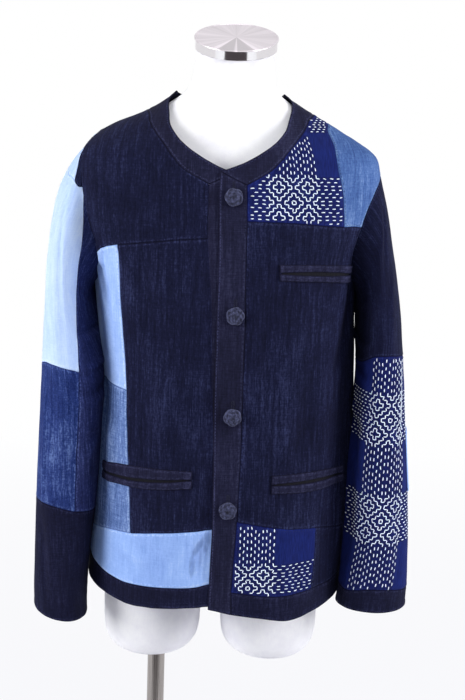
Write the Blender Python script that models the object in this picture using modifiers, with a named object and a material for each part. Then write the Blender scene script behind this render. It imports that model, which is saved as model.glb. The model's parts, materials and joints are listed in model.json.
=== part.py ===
"""A patched boro jacket, buttoned, on a limbless torso form with a steel stand.

The frame is in metres, +Z up, with the floor at Z 0 and the origin under the middle of the base.
The front faces -Y. Right and left are the wearer's, so the right side is at -X.
Sizes in the tables are millimetres. Heights in them are measured from the hem.
"""

import math
from collections import namedtuple

import bpy
from mathutils import Vector

MM = 0.001
HEM_ABOVE_FLOOR = 620.0

# Cloth: the wall of one piece, half the gap along a seam, and how far a laid-on piece stands out.
CLOTH = 1.4
HALF_GAP = 0.21
WIDE_HALF_GAP = 0.62
SLEEVE_HALF_GAP = 0.3
LONG_SEAM_HALF_GAP = 0.45
SLIT_HALF_GAP = 1.0
LAID_ON = 2.0
TUCKED = -2.3

BUTTON_RADIUS = 12.0
BUTTON_HALF_RISE = 5.0
BUTTON_GAP = 0.35

CAP_RADIUS = 56.3
CAP_HEIGHT = 14.0
POLE_X = -82.0
POLE_RADIUS = 12.5
BASE_RADIUS = 180.0
BASE_THICKNESS = 8.0
SOCKET_RADIUS = 24.0
SOCKET_HEIGHT = 28.0
PART_GAP = 0.3

# ---------------------------------------------------------------- tables

# The jacket's body as worn: half widths and depths of its level rings, and how square they are.
BodyRow = namedtuple("BodyRow", "height right left front back square")
BODY = [
    BodyRow(-40, 184, 186, 149, 138, 2.15),
    BodyRow(0, 183, 185, 150, 137, 2.15),
    BodyRow(100, 177, 185, 151, 134, 2.2),
    BodyRow(180, 172, 182, 151, 131, 2.2),
    BodyRow(250, 168, 179, 150, 129, 2.25),
    BodyRow(316, 166, 176, 148, 128, 2.3),
    BodyRow(400, 172, 173, 144, 127, 2.4),
    BodyRow(463, 180, 178, 138, 127, 2.5),
    BodyRow(507, 199, 195, 132, 124, 2.5),
    BodyRow(550, 208, 206, 123, 117, 2.5),
    BodyRow(577, 207, 206, 115, 109, 2.4),
    BodyRow(600, 199, 197, 105, 98, 2.3),
    BodyRow(628, 160, 153, 82, 80, 2.15),
    BodyRow(651, 108, 111, 60, 66, 2.0),
    BodyRow(676, 72, 72, 47, 60, 2.0),
    BodyRow(700, 56, 56, 50, 56, 2.0),
]

# Soft folds of the body: where each stands, and how far it swells out at the hem.
Fold = namedtuple("Fold", "angle width depth top")
BODY_FOLDS = [
    Fold(-24, 13, 4.0, 330),
    Fold(-52, 11, -2.5, 260),
    Fold(36, 15, 6.0, 360),
    Fold(66, 10, -3.0, 300),
    Fold(128, 13, 5.0, 380),
    Fold(-126, 13, 5.0, 380),
    Fold(180, 16, -4.0, 420),
]
FOLD_FOOT = -20.0

# Each armhole is an ellipse in side view, with its upper half stretched up to the shoulder tip.
ARMHOLE_MIDDLE = 507.0
ARMHOLE_HALF_HEIGHT = 93.0
TIP = {-1: 619.0, 1: 575.0}
ARMHOLE_HALF_DEPTH = 70.0
STEPS = 24

# Sleeves: each ring's outer and under points, how far forward it hangs, and half its depth.
SleeveRow = namedtuple("SleeveRow", "outer_x outer_h under_x under_h middle_y half_depth")
SLEEVES = {
    -1: [
        SleeveRow(211, 577, 181, 398, -3, 77),
        SleeveRow(228, 529, 182, 376, -8, 80),
        SleeveRow(238, 460, 178, 347, -18, 79),
        SleeveRow(242, 388, 170, 311, -34, 75),
        SleeveRow(244, 306, 165.5, 261, -50, 70),
        SleeveRow(246, 208, 168.5, 186, -57, 64),
        SleeveRow(249, 105, 171, 96, -61, 57),
        SleeveRow(251, 13, 177, 8, -64, 52),
        SleeveRow(250, -31, 178, -48, -65, 50),
    ],
    1: [
        SleeveRow(213, 549, 182, 398, -3, 77),
        SleeveRow(220, 521, 185, 376, -6, 80),
        SleeveRow(230, 467, 187, 344, -12, 80),
        SleeveRow(241, 399, 188, 306, -22, 77),
        SleeveRow(249, 322, 185, 257, -36, 71),
        SleeveRow(256, 230, 179, 190, -49, 63),
        SleeveRow(265, 125, 178, 110, -58, 54),
        SleeveRow(269, 35, 176, 30, -62, 47),
        SleeveRow(269, -17, 172, -17, -63, 43),
    ],
}

# Dents and swells of the sleeves, each at a step round the sleeve and a place along it.
SleeveFold = namedtuple("SleeveFold", "step place width reach depth")
SLEEVE_FOLDS = {
    -1: [
        SleeveFold(5, 2.2, 2.2, 1.0, 3.5),
        SleeveFold(8, 3.6, 1.8, 0.9, -4.0),
        SleeveFold(3, 5.0, 2.2, 0.9, -3.5),
        SleeveFold(18, 4.4, 2.2, 1.0, -4.0),
        SleeveFold(5, 6.6, 2.2, 0.9, 3.0),
    ],
    1: [
        SleeveFold(7, 2.4, 1.8, 1.0, -4.0),
        SleeveFold(4, 3.8, 2.0, 0.9, 3.5),
        SleeveFold(8, 5.2, 2.0, 0.9, -3.5),
        SleeveFold(17, 4.2, 2.2, 1.0, -4.0),
        SleeveFold(5, 6.8, 2.0, 0.9, 3.0),
    ],
}

# The torso form: rings from the hips to the neck. Raked rings rise towards the back.
FormRow = namedtuple("FormRow", "height half_width front back middle_x rake")
FORM = [
    FormRow(22, 120, 84, 84, -2, 0.0),
    FormRow(36, 148, 104, 102, -2, 0.0),
    FormRow(90, 158, 116, 112, 0, 0.0),
    FormRow(180, 148, 112, 104, 0, 0.0),
    FormRow(300, 138, 110, 98, 0, 0.0),
    FormRow(400, 148, 118, 104, 0, 0.0),
    FormRow(480, 160, 118, 106, 0, 0.0),
    FormRow(550, 176, 106, 98, 0, 0.0),
    FormRow(584, 184, 92, 86, 0, 0.0),
    FormRow(606, 179, 78, 78, -1, 0.0),
    FormRow(628, 150.5, 66, 56, -3, 0.0),
    FormRow(651, 100.3, 54, 44, 2.3, 0.0),
    FormRow(676, 63, 50, 54, 3, 0.1),
    FormRow(700, 54, 49, 55, 4, 0.25),
    FormRow(735, 52, 50, 54, 6, 0.4),
]
LegRow = namedtuple("LegRow", "height half_width half_depth")
LEG = [
    LegRow(-118, 30, 34),
    LegRow(-114, 48, 54),
    LegRow(-105, 61, 69),
    LegRow(-86, 68.5, 78),
    LegRow(-30, 70, 80),
    LegRow(20, 71, 84),
    LegRow(60, 70, 86),
]
LEG_X = {-1: -89.0, 1: 80.0}

COLOURS = {
    "indigo": (0.014, 0.018, 0.052),
    "charcoal": (0.014, 0.015, 0.034),
    "light_blue": (0.40, 0.55, 0.92),
    "grey_blue": (0.15, 0.23, 0.49),
    "chambray": (0.085, 0.16, 0.39),
    "mid_denim": (0.032, 0.060, 0.22),
    "sashiko": (0.013, 0.026, 0.155),
    "button_cord": (0.046, 0.051, 0.105),
    "form_jersey": (0.82, 0.82, 0.84),
    "brushed_steel": (0.46, 0.45, 0.44),
}

# ---------------------------------------------------------------- reading the tables


def hermite(start, end, leave, arrive, t):
    """A cubic from start to end with the given slopes."""
    return (
        (1 + 2 * t) * (1 - t) ** 2 * start
        + t * (1 - t) ** 2 * leave
        + t * t * (3 - 2 * t) * end
        - t * t * (1 - t) * arrive
    )


def row_at(rows, key):
    """The other columns of a table where its first column is key, on a smooth curve through its rows."""
    key = min(max(key, rows[0][0]), rows[-1][0])
    i = max(k for k in range(len(rows) - 1) if rows[k][0] <= key)
    before = rows[max(i - 1, 0)]
    here, there = rows[i], rows[i + 1]
    after = rows[min(i + 2, len(rows) - 1)]
    span = there[0] - here[0]
    values = []
    for c in range(1, len(here)):
        leave = (there[c] - before[c]) / (there[0] - before[0]) * span
        arrive = (after[c] - here[c]) / (after[0] - here[0]) * span
        values.append(hermite(here[c], there[c], leave, arrive, (key - here[0]) / span))
    return values


def ease(t):
    """0 to 1, level at both ends."""
    t = min(max(t, 0.0), 1.0)
    return t * t * (3 - 2 * t)


def solve(function, low, high):
    """Where a function that rises through zero between low and high is zero."""
    for _ in range(40):
        middle = (low + high) / 2
        if function(middle) < 0:
            low = middle
        else:
            high = middle
    return (low + high) / 2


# ---------------------------------------------------------------- the jacket's body

RIGHT, LEFT = -1, 1


def ring_radius(angle, height):
    """The body's radius without folds. Angle 0 is the centre front, 90 the left side, 180 the back."""
    right, left, front, back, square = row_at(BODY, height)
    s, c = math.sin(math.radians(angle)), math.cos(math.radians(angle))
    half_width = left if s > 0 else right
    depth = front if c > 0 else back
    return (abs(s / half_width) ** square + abs(c / depth) ** square) ** (-1 / square)


def fold_depth(angle, height):
    """How far the folds swell the cloth out at this angle and height."""
    total = 0.0
    for fold in BODY_FOLDS:
        apart = (angle - fold.angle + 180) % 360 - 180
        share = ease((fold.top - height) / (fold.top - FOLD_FOOT))
        total += fold.depth * share * math.exp(-((apart / fold.width) ** 2))
    return total


def body_face(angle, height):
    """A point of the jacket's outer face."""
    radius = ring_radius(angle, height) + fold_depth(angle, height)
    turn = math.radians(angle)
    return Vector((radius * math.sin(turn), -radius * math.cos(turn), height))


def on_body(angle, height, out=0.0):
    """A point of the jacket's outer face, moved out along the cloth's normal."""
    point = body_face(angle, height)
    if out:
        around = body_face(angle + 0.5, height) - body_face(angle - 0.5, height)
        upward = body_face(angle, height + 1.0) - body_face(angle, height - 1.0)
        point = point + around.cross(upward).normalized() * out
    return point


def at_x(x, height):
    """(angle, height) of the front point of the body with this X."""
    angle = solve(lambda a: ring_radius(a, height) * math.sin(math.radians(a)) - x, -88, 88)
    return (angle, height)


def armhole(side, turn):
    """(angle, height) on an armhole: turn 0 is the shoulder tip, 90 the front, 180 the armpit."""
    y = -ARMHOLE_HALF_DEPTH * math.sin(math.radians(turn))
    rise = math.cos(math.radians(turn))
    height = ARMHOLE_MIDDLE + rise * (TIP[side] - ARMHOLE_MIDDLE if rise > 0 else ARMHOLE_HALF_HEIGHT)
    bare = solve(lambda a: -ring_radius(side * a, height) * math.cos(math.radians(a)) - y, 2, 178)
    return (side * bare, height)


def side_seam(side, height):
    """(angle, height) on a side seam, which comes forward below the armpit."""
    armpit = ARMHOLE_MIDDLE - ARMHOLE_HALF_HEIGHT
    return (side * (90 - 13 * ease((armpit - height) / 150)), height)


# ---------------------------------------------------------------- edges


def curve(knots, count, stretch=2.4):
    """Evenly spaced points on a smooth curve through knots. The first number counts stretch times."""
    places = [0.0]
    for a, b in zip(knots, knots[1:]):
        places.append(places[-1] + math.hypot((a[0] - b[0]) * stretch, a[1] - b[1]))
    rows = [(place, *knot) for place, knot in zip(places, knots)]
    return [tuple(row_at(rows, places[-1] * i / count)) for i in range(count + 1)]


def by_x(knots, count):
    """The same, with knots given as (x, height) on the front of the body."""
    return curve([at_x(x, height) for x, height in knots], count)


def joined(*edges):
    """Edges that meet end to end, as one."""
    whole = list(edges[0])
    for edge in edges[1:]:
        whole += edge[1:]
    return whole


def mirrored(knots):
    """The same knots on the other side of the body, in the same order."""
    return [(-angle, height) for angle, height in knots]


def round_back(edge):
    """An edge of the right side, with its angles counted on round the back."""
    return [(angle + 360, height) for angle, height in edge]


def raised(knots, amount):
    """The same knots, each a little higher."""
    return [(angle, height + amount) for angle, height in knots]


def armhole_edge(side, start, end, count=0):
    """An armhole's points between two turns, at the sleeve's own steps unless a count is given."""
    count = count or round(abs(end - start) * STEPS / 360)
    return [armhole(side, start + (end - start) * i / count) for i in range(count + 1)]


def side_edge(side, low, high, count):
    """A side seam's points between two heights."""
    return [side_seam(side, low + (high - low) * i / count) for i in range(count + 1)]


def filled(bottom, top, left, right, middle=None):
    """A grid of pairs between four edges. Bottom and top run left to right, left and right upwards.

    Middle is a line across the grid, from a point of left to the same point of right.
    """
    if middle:
        row = left.index(middle[0])
        upper = filled(middle, top, left[row:], right[row:])
        return filled(bottom, middle, left[: row + 1], right[: row + 1]) + upper[1:]
    columns, rows = len(bottom) - 1, len(left) - 1
    if len(top) != len(bottom) or len(right) != len(left):
        raise ValueError(f"edges of {len(bottom)} and {len(top)}, {len(left)} and {len(right)} points")
    grid = []
    for j in range(rows + 1):
        v = j / rows
        line = []
        for i in range(columns + 1):
            u = i / columns
            pair = []
            for k in (0, 1):
                across = (1 - u) * left[j][k] + u * right[j][k]
                upward = (1 - v) * bottom[i][k] + v * top[i][k]
                low = (1 - u) * bottom[0][k] + u * bottom[-1][k]
                high = (1 - u) * top[0][k] + u * top[-1][k]
                pair.append(across + upward - (1 - v) * low - v * high)
            line.append(tuple(pair))
        grid.append(line)
    return grid


# ---------------------------------------------------------------- pieces


def material(name):
    """A plain Principled material, made once for each name."""
    made = bpy.data.materials.get(name)
    if made is None:
        made = bpy.data.materials.new(name)
        made.use_nodes = True
        shader = made.node_tree.nodes["Principled BSDF"]
        metal = name == "brushed_steel"
        shader.inputs["Base Color"].default_value = (*COLOURS[name], 1)
        shader.inputs["Roughness"].default_value = 0.3 if metal else 0.9
        shader.inputs["Metallic"].default_value = 1.0 if metal else 0.0
        made.diffuse_color = (*COLOURS[name], 1)
    return made


def finish(obj, name, collection, colour):
    """Names an object, moves it to its collection and gives it its material and smooth shading."""
    obj.name = name
    for owner in list(obj.users_collection):
        owner.objects.unlink(obj)
    collection.objects.link(obj)
    obj.data.materials.append(material(colour))
    obj.data.shade_smooth()
    obj.data.set_sharp_from_angle(angle=math.radians(40))
    return obj


def drawn_in(points, gaps):
    """A grid of 3-D points with its bottom, top, left and right edges drawn in by gaps."""
    rows, columns = len(points) - 1, len(points[0]) - 1
    bottom, top, left, right = gaps

    def inward(point, inner, before, after):
        """The unit direction from an edge towards the inner point, square to the edge."""
        edge = (after - before).normalized()
        step = inner - point
        return (step - edge * step.dot(edge)).normalized()

    moved = [list(line) for line in points]
    for j in range(rows + 1):
        for i in range(columns + 1):
            pulls = []
            if j in (0, rows):
                inner = points[1 if j == 0 else rows - 1][i]
                edge = (points[j][max(i - 1, 0)], points[j][min(i + 1, columns)])
                pulls.append((inward(points[j][i], inner, *edge), bottom if j == 0 else top))
            if i in (0, columns):
                inner = points[j][1 if i == 0 else columns - 1]
                edge = (points[max(j - 1, 0)][i], points[min(j + 1, rows)][i])
                pulls.append((inward(points[j][i], inner, *edge), left if i == 0 else right))
            if len(pulls) == 1:
                moved[j][i] = points[j][i] + pulls[0][0] * pulls[0][1]
            elif pulls:
                (one, gap_one), (two, gap_two) = pulls
                both = max(min(one.dot(two), 0.8), -0.8)
                share_one = (gap_one - both * gap_two) / (1 - both * both)
                share_two = (gap_two - both * gap_one) / (1 - both * both)
                moved[j][i] = points[j][i] + one * share_one + two * share_two
    return moved


def cloth(name, points, colour, gaps):
    """A cloth piece: a flat grid laid over a grid of 3-D points, with its wall added inwards."""
    points = drawn_in(points, gaps)
    rows, columns = len(points) - 1, len(points[0]) - 1
    bpy.ops.mesh.primitive_grid_add(x_subdivisions=columns, y_subdivisions=rows, size=2)
    piece = bpy.context.active_object
    for vertex in piece.data.vertices:
        i = round((vertex.co.x + 1) / 2 * columns)
        j = round((vertex.co.y + 1) / 2 * rows)
        x, y, height = points[j][i]
        vertex.co = Vector((x, y, height + HEM_ABOVE_FLOOR)) * MM
    wall = piece.modifiers.new("wall", "SOLIDIFY")
    wall.thickness = CLOTH * MM
    wall.offset = -1
    return finish(piece, name, jacket, colour)


PLAIN_GAPS = (HALF_GAP, HALF_GAP, HALF_GAP, HALF_GAP)
SLEEVE_GAPS = (SLEEVE_HALF_GAP, SLEEVE_HALF_GAP, LONG_SEAM_HALF_GAP, LONG_SEAM_HALF_GAP)


def body_piece(name, colour, bottom, top, left, right, middle=None, out=0.0, gaps=PLAIN_GAPS):
    """A piece of the jacket's body between four edges of (angle, height). Out may depend on X."""
    points = []
    for line in filled(bottom, top, left, right, middle):
        if callable(out):
            points.append([on_body(a, h, out(body_face(a, h).x)) for a, h in line])
        else:
            points.append([on_body(a, h, out) for a, h in line])
    return cloth(name, points, colour, gaps)


def tuck(x):
    """The right front sinks under the left front's edge."""
    return TUCKED * ease((x + 22) / 11)


# ---------------------------------------------------------------- sleeves


def sleeve_rings(side):
    """A sleeve's rings, each a list of points. The first lies along the armhole, clear of the body."""
    first = []
    for k in range(STEPS):
        turn = 2 * math.pi * k / STEPS
        point = on_body(*armhole(side, 360 * k / STEPS))
        clear = 0.35 + 0.55 * max(0.0, math.cos(turn))
        first.append(point + Vector((side * clear, 0, 0)))
    rings = [first]
    for row in SLEEVES[side]:
        middle = Vector(((row.outer_x + row.under_x) / 2, row.middle_y, (row.outer_h + row.under_h) / 2))
        reach = Vector(((row.outer_x - row.under_x) / 2, 0, (row.outer_h - row.under_h) / 2))
        ring = []
        for k in range(STEPS):
            turn = 2 * math.pi * k / STEPS
            point = middle + reach * math.cos(turn) + Vector((0, -row.half_depth * math.sin(turn), 0))
            ring.append(Vector((side * point.x, point.y, point.z)))
        rings.append(ring)
    return rings


def on_sleeve(side, step, place, out=0.0):
    """A point of a sleeve. Steps run from its outer line round its front; places count its rings."""
    rings = RINGS[side]
    i = min(int(place), len(rings) - 2)

    def across(k):
        ring = rings[min(max(k, 0), len(rings) - 1)]
        low = math.floor(step)
        return ring[low % STEPS].lerp(ring[(low + 1) % STEPS], step - low)

    here, there = across(i), across(i + 1)
    leave = (there - across(i - 1)) * (0.5 if i else 1.0)
    arrive = (across(i + 2) - here) * (0.5 if i + 2 < len(rings) else 1.0)
    point = hermite(here, there, leave, arrive, place - i)
    heart = (across(i) + sum((rings[i][k] for k in range(STEPS)), Vector())) / (STEPS + 1)
    outward = Vector((point.x - heart.x, point.y - heart.y, 0)).normalized()
    swell = out
    for fold in SLEEVE_FOLDS[side]:
        apart = (step - fold.step + STEPS / 2) % STEPS - STEPS / 2
        along = (place - fold.place) / fold.reach
        swell += fold.depth * math.exp(-((apart / fold.width) ** 2) - along**2)
    return point + outward * swell


def sleeve_piece(name, side, colour, upper, lower, first, last, out=0.0, gaps=SLEEVE_GAPS):
    """A piece of a sleeve between four edges of (step, place).

    Upper and lower run by rising step from the first edge to the last, which both run down the sleeve.
    """
    points = []
    for line in filled(upper, lower, first, last):
        points.append([on_sleeve(side, step, place, out) for step, place in line])
    if side == RIGHT:
        points = [line[::-1] for line in points]
    return cloth(name, points, colour, gaps)


def across(first, last, seam, count=0):
    """Points round a sleeve along a seam, which is one place or a table of (step, place)."""
    count = count or last - first
    steps = [first + (last - first) * i / count for i in range(count + 1)]
    if not isinstance(seam, list):
        return [(step, seam) for step in steps]
    return [(step, row_at(seam, (step - 12) % STEPS + 12)[0]) for step in steps]


def down(step, start, end, count):
    """Evenly spaced points down a sleeve at one step, between two places."""
    return [(step, start + (end - start) * i / count) for i in range(count + 1)]


def halved(edge):
    """The same edge with a point put in the middle of each segment."""
    whole = [edge[0]]
    for a, b in zip(edge, edge[1:]):
        whole += [((a[0] + b[0]) / 2, (a[1] + b[1]) / 2), b]
    return whole


# ---------------------------------------------------------------- lofts of the form


def loft(name, rings, collection, colour):
    """A closed solid through rings of points, with a cap on each end."""
    count = len(rings[0])
    vertices = [(point * MM)[:] for ring in rings for point in ring]
    faces = []
    for j in range(len(rings) - 1):
        for k in range(count):
            a, b = j * count + k, j * count + (k + 1) % count
            faces.append((a, b, b + count, a + count))
    faces.append(tuple(reversed(range(count))))
    faces.append(tuple(range((len(rings) - 1) * count, len(rings) * count)))
    mesh = bpy.data.meshes.new(name)
    mesh.from_pydata(vertices, [], faces)
    obj = bpy.data.objects.new(name, mesh)
    bpy.context.scene.collection.objects.link(obj)
    return finish(obj, name, collection, colour)


def ellipse_ring(middle_x, half_width, front, back, height, rake=0.0, count=32):
    """One level or raked ring of the form."""
    ring = []
    for k in range(count):
        turn = 2 * math.pi * k / count
        s, c = math.sin(turn), math.cos(turn)
        y = -c * (front if c > 0 else back)
        ring.append(Vector((middle_x + half_width * s, y, height + y * rake + HEM_ABOVE_FLOOR)))
    return ring


def cylinder(name, radius, height, foot, axis, bevel, collection, colour, sides=48):
    """A cylinder standing on foot along an axis, with softened rims."""
    turn = axis.to_track_quat("Z", "Y").to_euler()
    middle = (foot + axis * height / 2) * MM
    bpy.ops.mesh.primitive_cylinder_add(
        vertices=sides, radius=radius * MM, depth=height * MM, location=middle, rotation=turn
    )
    obj = bpy.context.active_object
    if bevel:
        soft = obj.modifiers.new("rims", "BEVEL")
        soft.width = bevel * MM
        soft.segments = 2
        soft.angle_limit = math.radians(50)
    return finish(obj, name, collection, colour)


def as_cutter(obj):
    """Shows a cutter as wires and keeps it out of renders."""
    obj.display_type = "WIRE"
    obj.hide_render = True
    return obj


# ---------------------------------------------------------------- start

for old in list(bpy.data.objects):
    bpy.data.objects.remove(old)

model = bpy.data.collections.new("patched_jacket_on_form")
jacket = bpy.data.collections.new("patched_jacket")
stand = bpy.data.collections.new("torso_form")
cutters = bpy.data.collections.new("cutters")
bpy.context.scene.collection.children.link(model)
model.children.link(jacket)
model.children.link(stand)
bpy.context.scene.collection.children.link(cutters)
cutters.hide_render = True

# ---------------------------------------------------------------- seam lines

BAND_OUTER = [(25.8, 577), (33, 591), (40, 605), (53, 624), (71, 643), (90, 651)]
NECKLINE = [(11.4, 588), (23.5, 601), (36.6, 617), (52, 638), (67, 655), (90, 676)]
BAND_BACK = [(90, 651), (110, 646), (135, 638), (160, 631), (180, 628)]
NECK_BACK = [(90, 676), (110, 673), (135, 667), (160, 662), (180, 661)]
WIDE_TOP = (HALF_GAP, WIDE_HALF_GAP, HALF_GAP, HALF_GAP)


def both_sides(knots):
    """Knots from the left shoulder to the centre back, carried on to the right shoulder."""
    return knots + [(360 - angle, height) for angle, height in knots[-2::-1]]


# The side seams, from the hem bands up to the armpits.
lower_left_side = side_edge(LEFT, 24, 90, 3)
left_side = side_edge(LEFT, 90, 414, 7)
hem_patch_side = side_edge(RIGHT, 38, 76, 2)
grey_side = side_edge(RIGHT, 76, 291, 5)
strip_side = side_edge(RIGHT, 291, 414, 3)

# The right front, from the side seam to where it goes under the left front.
right_hem = curve([side_seam(RIGHT, 2), (-66, -3), (-46, -10), (-33, -7), (-21, -3), at_x(2, 3)], 12)
right_band_top = [side_seam(RIGHT, 38), (-68, 30), (-58, 23), (-48, 20), (-37, 22), (-23, 26), (-10, 29)]
right_band_top = curve(right_band_top + [at_x(2, 36)], 12)
grey_foot = curve([side_seam(RIGHT, 76), (-59.7, 86), (-43, 92)], 4)
right_main_foot = curve([(-43, 92), (-26.7, 101), at_x(1, 111)], 8)
grey_top = curve([side_seam(RIGHT, 291), (-64, 288), (-48.6, 286)], 4)
strip_top = curve([armhole(RIGHT, 120), (-62, 471), (-53, 477)], 4)
right_main_top = curve([(-53, 477), (-37, 484), (-23, 489), at_x(-21, 492)], 8)
grey_edge = curve([(-43, 92), (-44.6, 151), (-46.8, 219), (-48.6, 286)], 5)
strip_edge = curve([(-48.6, 286), (-50.2, 339), (-52.2, 405), (-53, 477)], 7)
hem_band_end = by_x([(2, 3), (2, 36)], 2)
hem_patch_end = by_x([(2, 36), (1, 111)], 2)
right_main_end = by_x([(1, 111), (-3, 190), (-9, 290), (-14, 410), (-21, 492)], 12)
yoke_end = by_x([(-21, 492), (-22, 560)], 3)
right_neck_seam = curve([at_x(-22, 560)] + mirrored(BAND_OUTER), 9)
right_neckline = curve([at_x(8, 576)] + mirrored(NECKLINE), 9)

# The left front, from its edge to the side seam.
left_edge = [(-6, -1), (-5, 60), (-4, 111), (-5, 193), (-7, 286), (-7, 415), (-7, 478), (-9, 553), (-8, 576)]
left_edge = by_x(left_edge, 21)
left_hem = curve([at_x(25, -8), (28.5, -16), (38, -20), (50, -16), (66.5, -12), side_seam(LEFT, -4)], 10)
square_foot = curve([at_x(24, 24), (28.9, 17), (49, 19)], 6)
lower_side_foot = curve([(49, 19), (64, 18), side_seam(LEFT, 24)], 4)
square_top = curve([at_x(28.5, 123), (30, 113), (50.6, 105)], 6)
lower_side_top = curve([(50.6, 105), (62, 98), side_seam(LEFT, 90)], 4)
square_side = curve([(49, 19), (50, 62), (50.6, 105)], 3)
left_band_end = by_x([(25, -8), (24, 24)], 2)
square_end = by_x([(24, 24), (28.5, 123)], 3)
left_main_end = by_x([(28.5, 123), (30, 221), (30, 353), (28, 480), (28, 515)], 13)
shoulder_patch_end = by_x([(28, 515), (26, 560)], 3)
shoulder_patch_foot = curve([at_x(28, 515), (34, 514), (58, 509)], 6)
chambray_foot = curve([(58, 509), (63, 509), armhole(LEFT, 90)], 4)
chambray_edge = curve([(58, 509), (57, 557), (59, 594), (64, 612), (73, 631), (90, 641)], 12)
left_neck_seam = curve([at_x(26, 560)] + BAND_OUTER, 9)
left_neckline = curve([at_x(-8, 576)] + NECKLINE, 9)

# The back.
back_hem = [side_seam(LEFT, -4), (105, 0), (180, 3), (255, 1), *round_back([side_seam(RIGHT, 2)])]
back_hem = curve(back_hem, 16)
back_band_top = [side_seam(LEFT, 24), (110, 30), (180, 32), (250, 34)]
back_band_top = curve(back_band_top + round_back([side_seam(RIGHT, 38)]), 16)
back_neck_seam = curve(both_sides(BAND_BACK), 8)
back_neckline = curve(both_sides(NECK_BACK), 8)


def shoulder(angle, start, end, count):
    """Points of a shoulder seam between two heights."""
    return [(angle, start + (end - start) * i / count) for i in range(count + 1)]


# ---------------------------------------------------------------- right front

body_piece(
    "right_front_hem_band",
    "charcoal",
    bottom=right_hem,
    top=right_band_top,
    left=side_edge(RIGHT, 2, 38, 2),
    right=hem_band_end,
    out=tuck,
)
body_piece(
    "right_front_hem_patch",
    "light_blue",
    bottom=right_band_top,
    top=joined(grey_foot, right_main_foot),
    left=hem_patch_side,
    right=hem_patch_end,
    out=tuck,
)
body_piece(
    "right_front_grey_patch",
    "grey_blue",
    bottom=grey_foot,
    top=grey_top,
    left=grey_side,
    right=grey_edge,
)
body_piece(
    "right_front_light_strip",
    "light_blue",
    bottom=grey_top,
    top=strip_top,
    left=joined(strip_side, armhole_edge(RIGHT, 180, 120)),
    right=strip_edge,
    middle=curve([strip_side[-1], strip_edge[4]], 4),
)
body_piece(
    "right_front_main",
    "indigo",
    bottom=right_main_foot,
    top=right_main_top,
    left=joined(grey_edge, strip_edge),
    right=right_main_end,
    out=tuck,
)
body_piece(
    "right_front_yoke",
    "indigo",
    bottom=joined(strip_top, right_main_top),
    top=shoulder(-90, TIP[RIGHT], 651, 12),
    left=armhole_edge(RIGHT, 120, 0, 12),
    right=joined(yoke_end, right_neck_seam),
    out=tuck,
    gaps=WIDE_TOP,
)
body_piece(
    "right_front_band",
    "charcoal",
    bottom=by_x([(2, 2), (24, -6)], 2),
    top=by_x([(-22, 560), (8, 576)], 2),
    left=joined(hem_band_end, hem_patch_end, right_main_end, yoke_end),
    right=by_x([(24, -6), (24, 480), (8, 576)], 19),
    out=tuck,
)
body_piece(
    "right_neck_band",
    "charcoal",
    bottom=right_neck_seam[::-1],
    top=right_neckline[::-1],
    left=shoulder(-90, 651, 676, 2),
    right=by_x([(-22, 560), (8, 576)], 2),
    out=tuck,
    gaps=(HALF_GAP, HALF_GAP, WIDE_HALF_GAP, HALF_GAP),
)

# ---------------------------------------------------------------- left front

body_piece(
    "left_front_hem_band",
    "charcoal",
    bottom=left_hem,
    top=joined(square_foot, lower_side_foot),
    left=left_band_end,
    right=side_edge(LEFT, -4, 24, 2),
)
body_piece(
    "left_front_hem_sashiko",
    "sashiko",
    bottom=square_foot,
    top=square_top,
    left=square_end,
    right=square_side,
)
body_piece(
    "left_front_lower_side",
    "indigo",
    bottom=lower_side_foot,
    top=lower_side_top,
    left=square_side,
    right=lower_left_side,
)
body_piece(
    "left_front_main",
    "indigo",
    bottom=joined(square_top, lower_side_top),
    top=joined(shoulder_patch_foot, chambray_foot),
    left=left_main_end,
    right=joined(left_side, armhole_edge(LEFT, 180, 90)),
    middle=curve([left_main_end[7], (50, 392), left_side[-1]], 10),
)
body_piece(
    "left_front_shoulder_sashiko",
    "sashiko",
    bottom=shoulder_patch_foot,
    top=shoulder(90, 651, 641, 6),
    left=joined(shoulder_patch_end, left_neck_seam),
    right=chambray_edge,
    gaps=WIDE_TOP,
)
body_piece(
    "left_front_chambray",
    "chambray",
    bottom=chambray_foot,
    top=shoulder(90, 641, TIP[LEFT], 4),
    left=chambray_edge,
    right=armhole_edge(LEFT, 90, 0, 12),
    gaps=WIDE_TOP,
)
body_piece(
    "left_front_band",
    "charcoal",
    bottom=by_x([(-6, -1), (25, -8)], 2),
    top=by_x([(-8, 576), (26, 560)], 2),
    left=left_edge,
    right=joined(left_band_end, square_end, left_main_end, shoulder_patch_end),
)
body_piece(
    "left_neck_band",
    "charcoal",
    bottom=left_neck_seam,
    top=left_neckline,
    left=by_x([(26, 560), (-8, 576)], 2),
    right=shoulder(90, 651, 676, 2),
    gaps=(HALF_GAP, HALF_GAP, HALF_GAP, WIDE_HALF_GAP),
)

# ---------------------------------------------------------------- back

body_piece(
    "back_hem_band",
    "charcoal",
    bottom=back_hem,
    top=back_band_top,
    left=side_edge(LEFT, -4, 24, 2),
    right=round_back(side_edge(RIGHT, 2, 38, 2)),
)
body_piece(
    "back_panel",
    "indigo",
    bottom=back_band_top,
    top=joined(shoulder(90, TIP[LEFT], 651, 4), back_neck_seam, shoulder(270, 651, TIP[RIGHT], 4)),
    left=joined(lower_left_side, left_side, armhole_edge(LEFT, 180, 360)),
    right=round_back(joined(hem_patch_side, grey_side, strip_side, armhole_edge(RIGHT, 180, 360))),
    middle=curve([left_side[-1], (180, 400), (270, 414)], 16),
    gaps=WIDE_TOP,
)
body_piece(
    "back_neck_band",
    "charcoal",
    bottom=back_neck_seam,
    top=back_neckline,
    left=shoulder(90, 651, 676, 2),
    right=shoulder(270, 651, 676, 2),
    gaps=(HALF_GAP, HALF_GAP, WIDE_HALF_GAP, WIDE_HALF_GAP),
)

# ---------------------------------------------------------------- right sleeve

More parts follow.
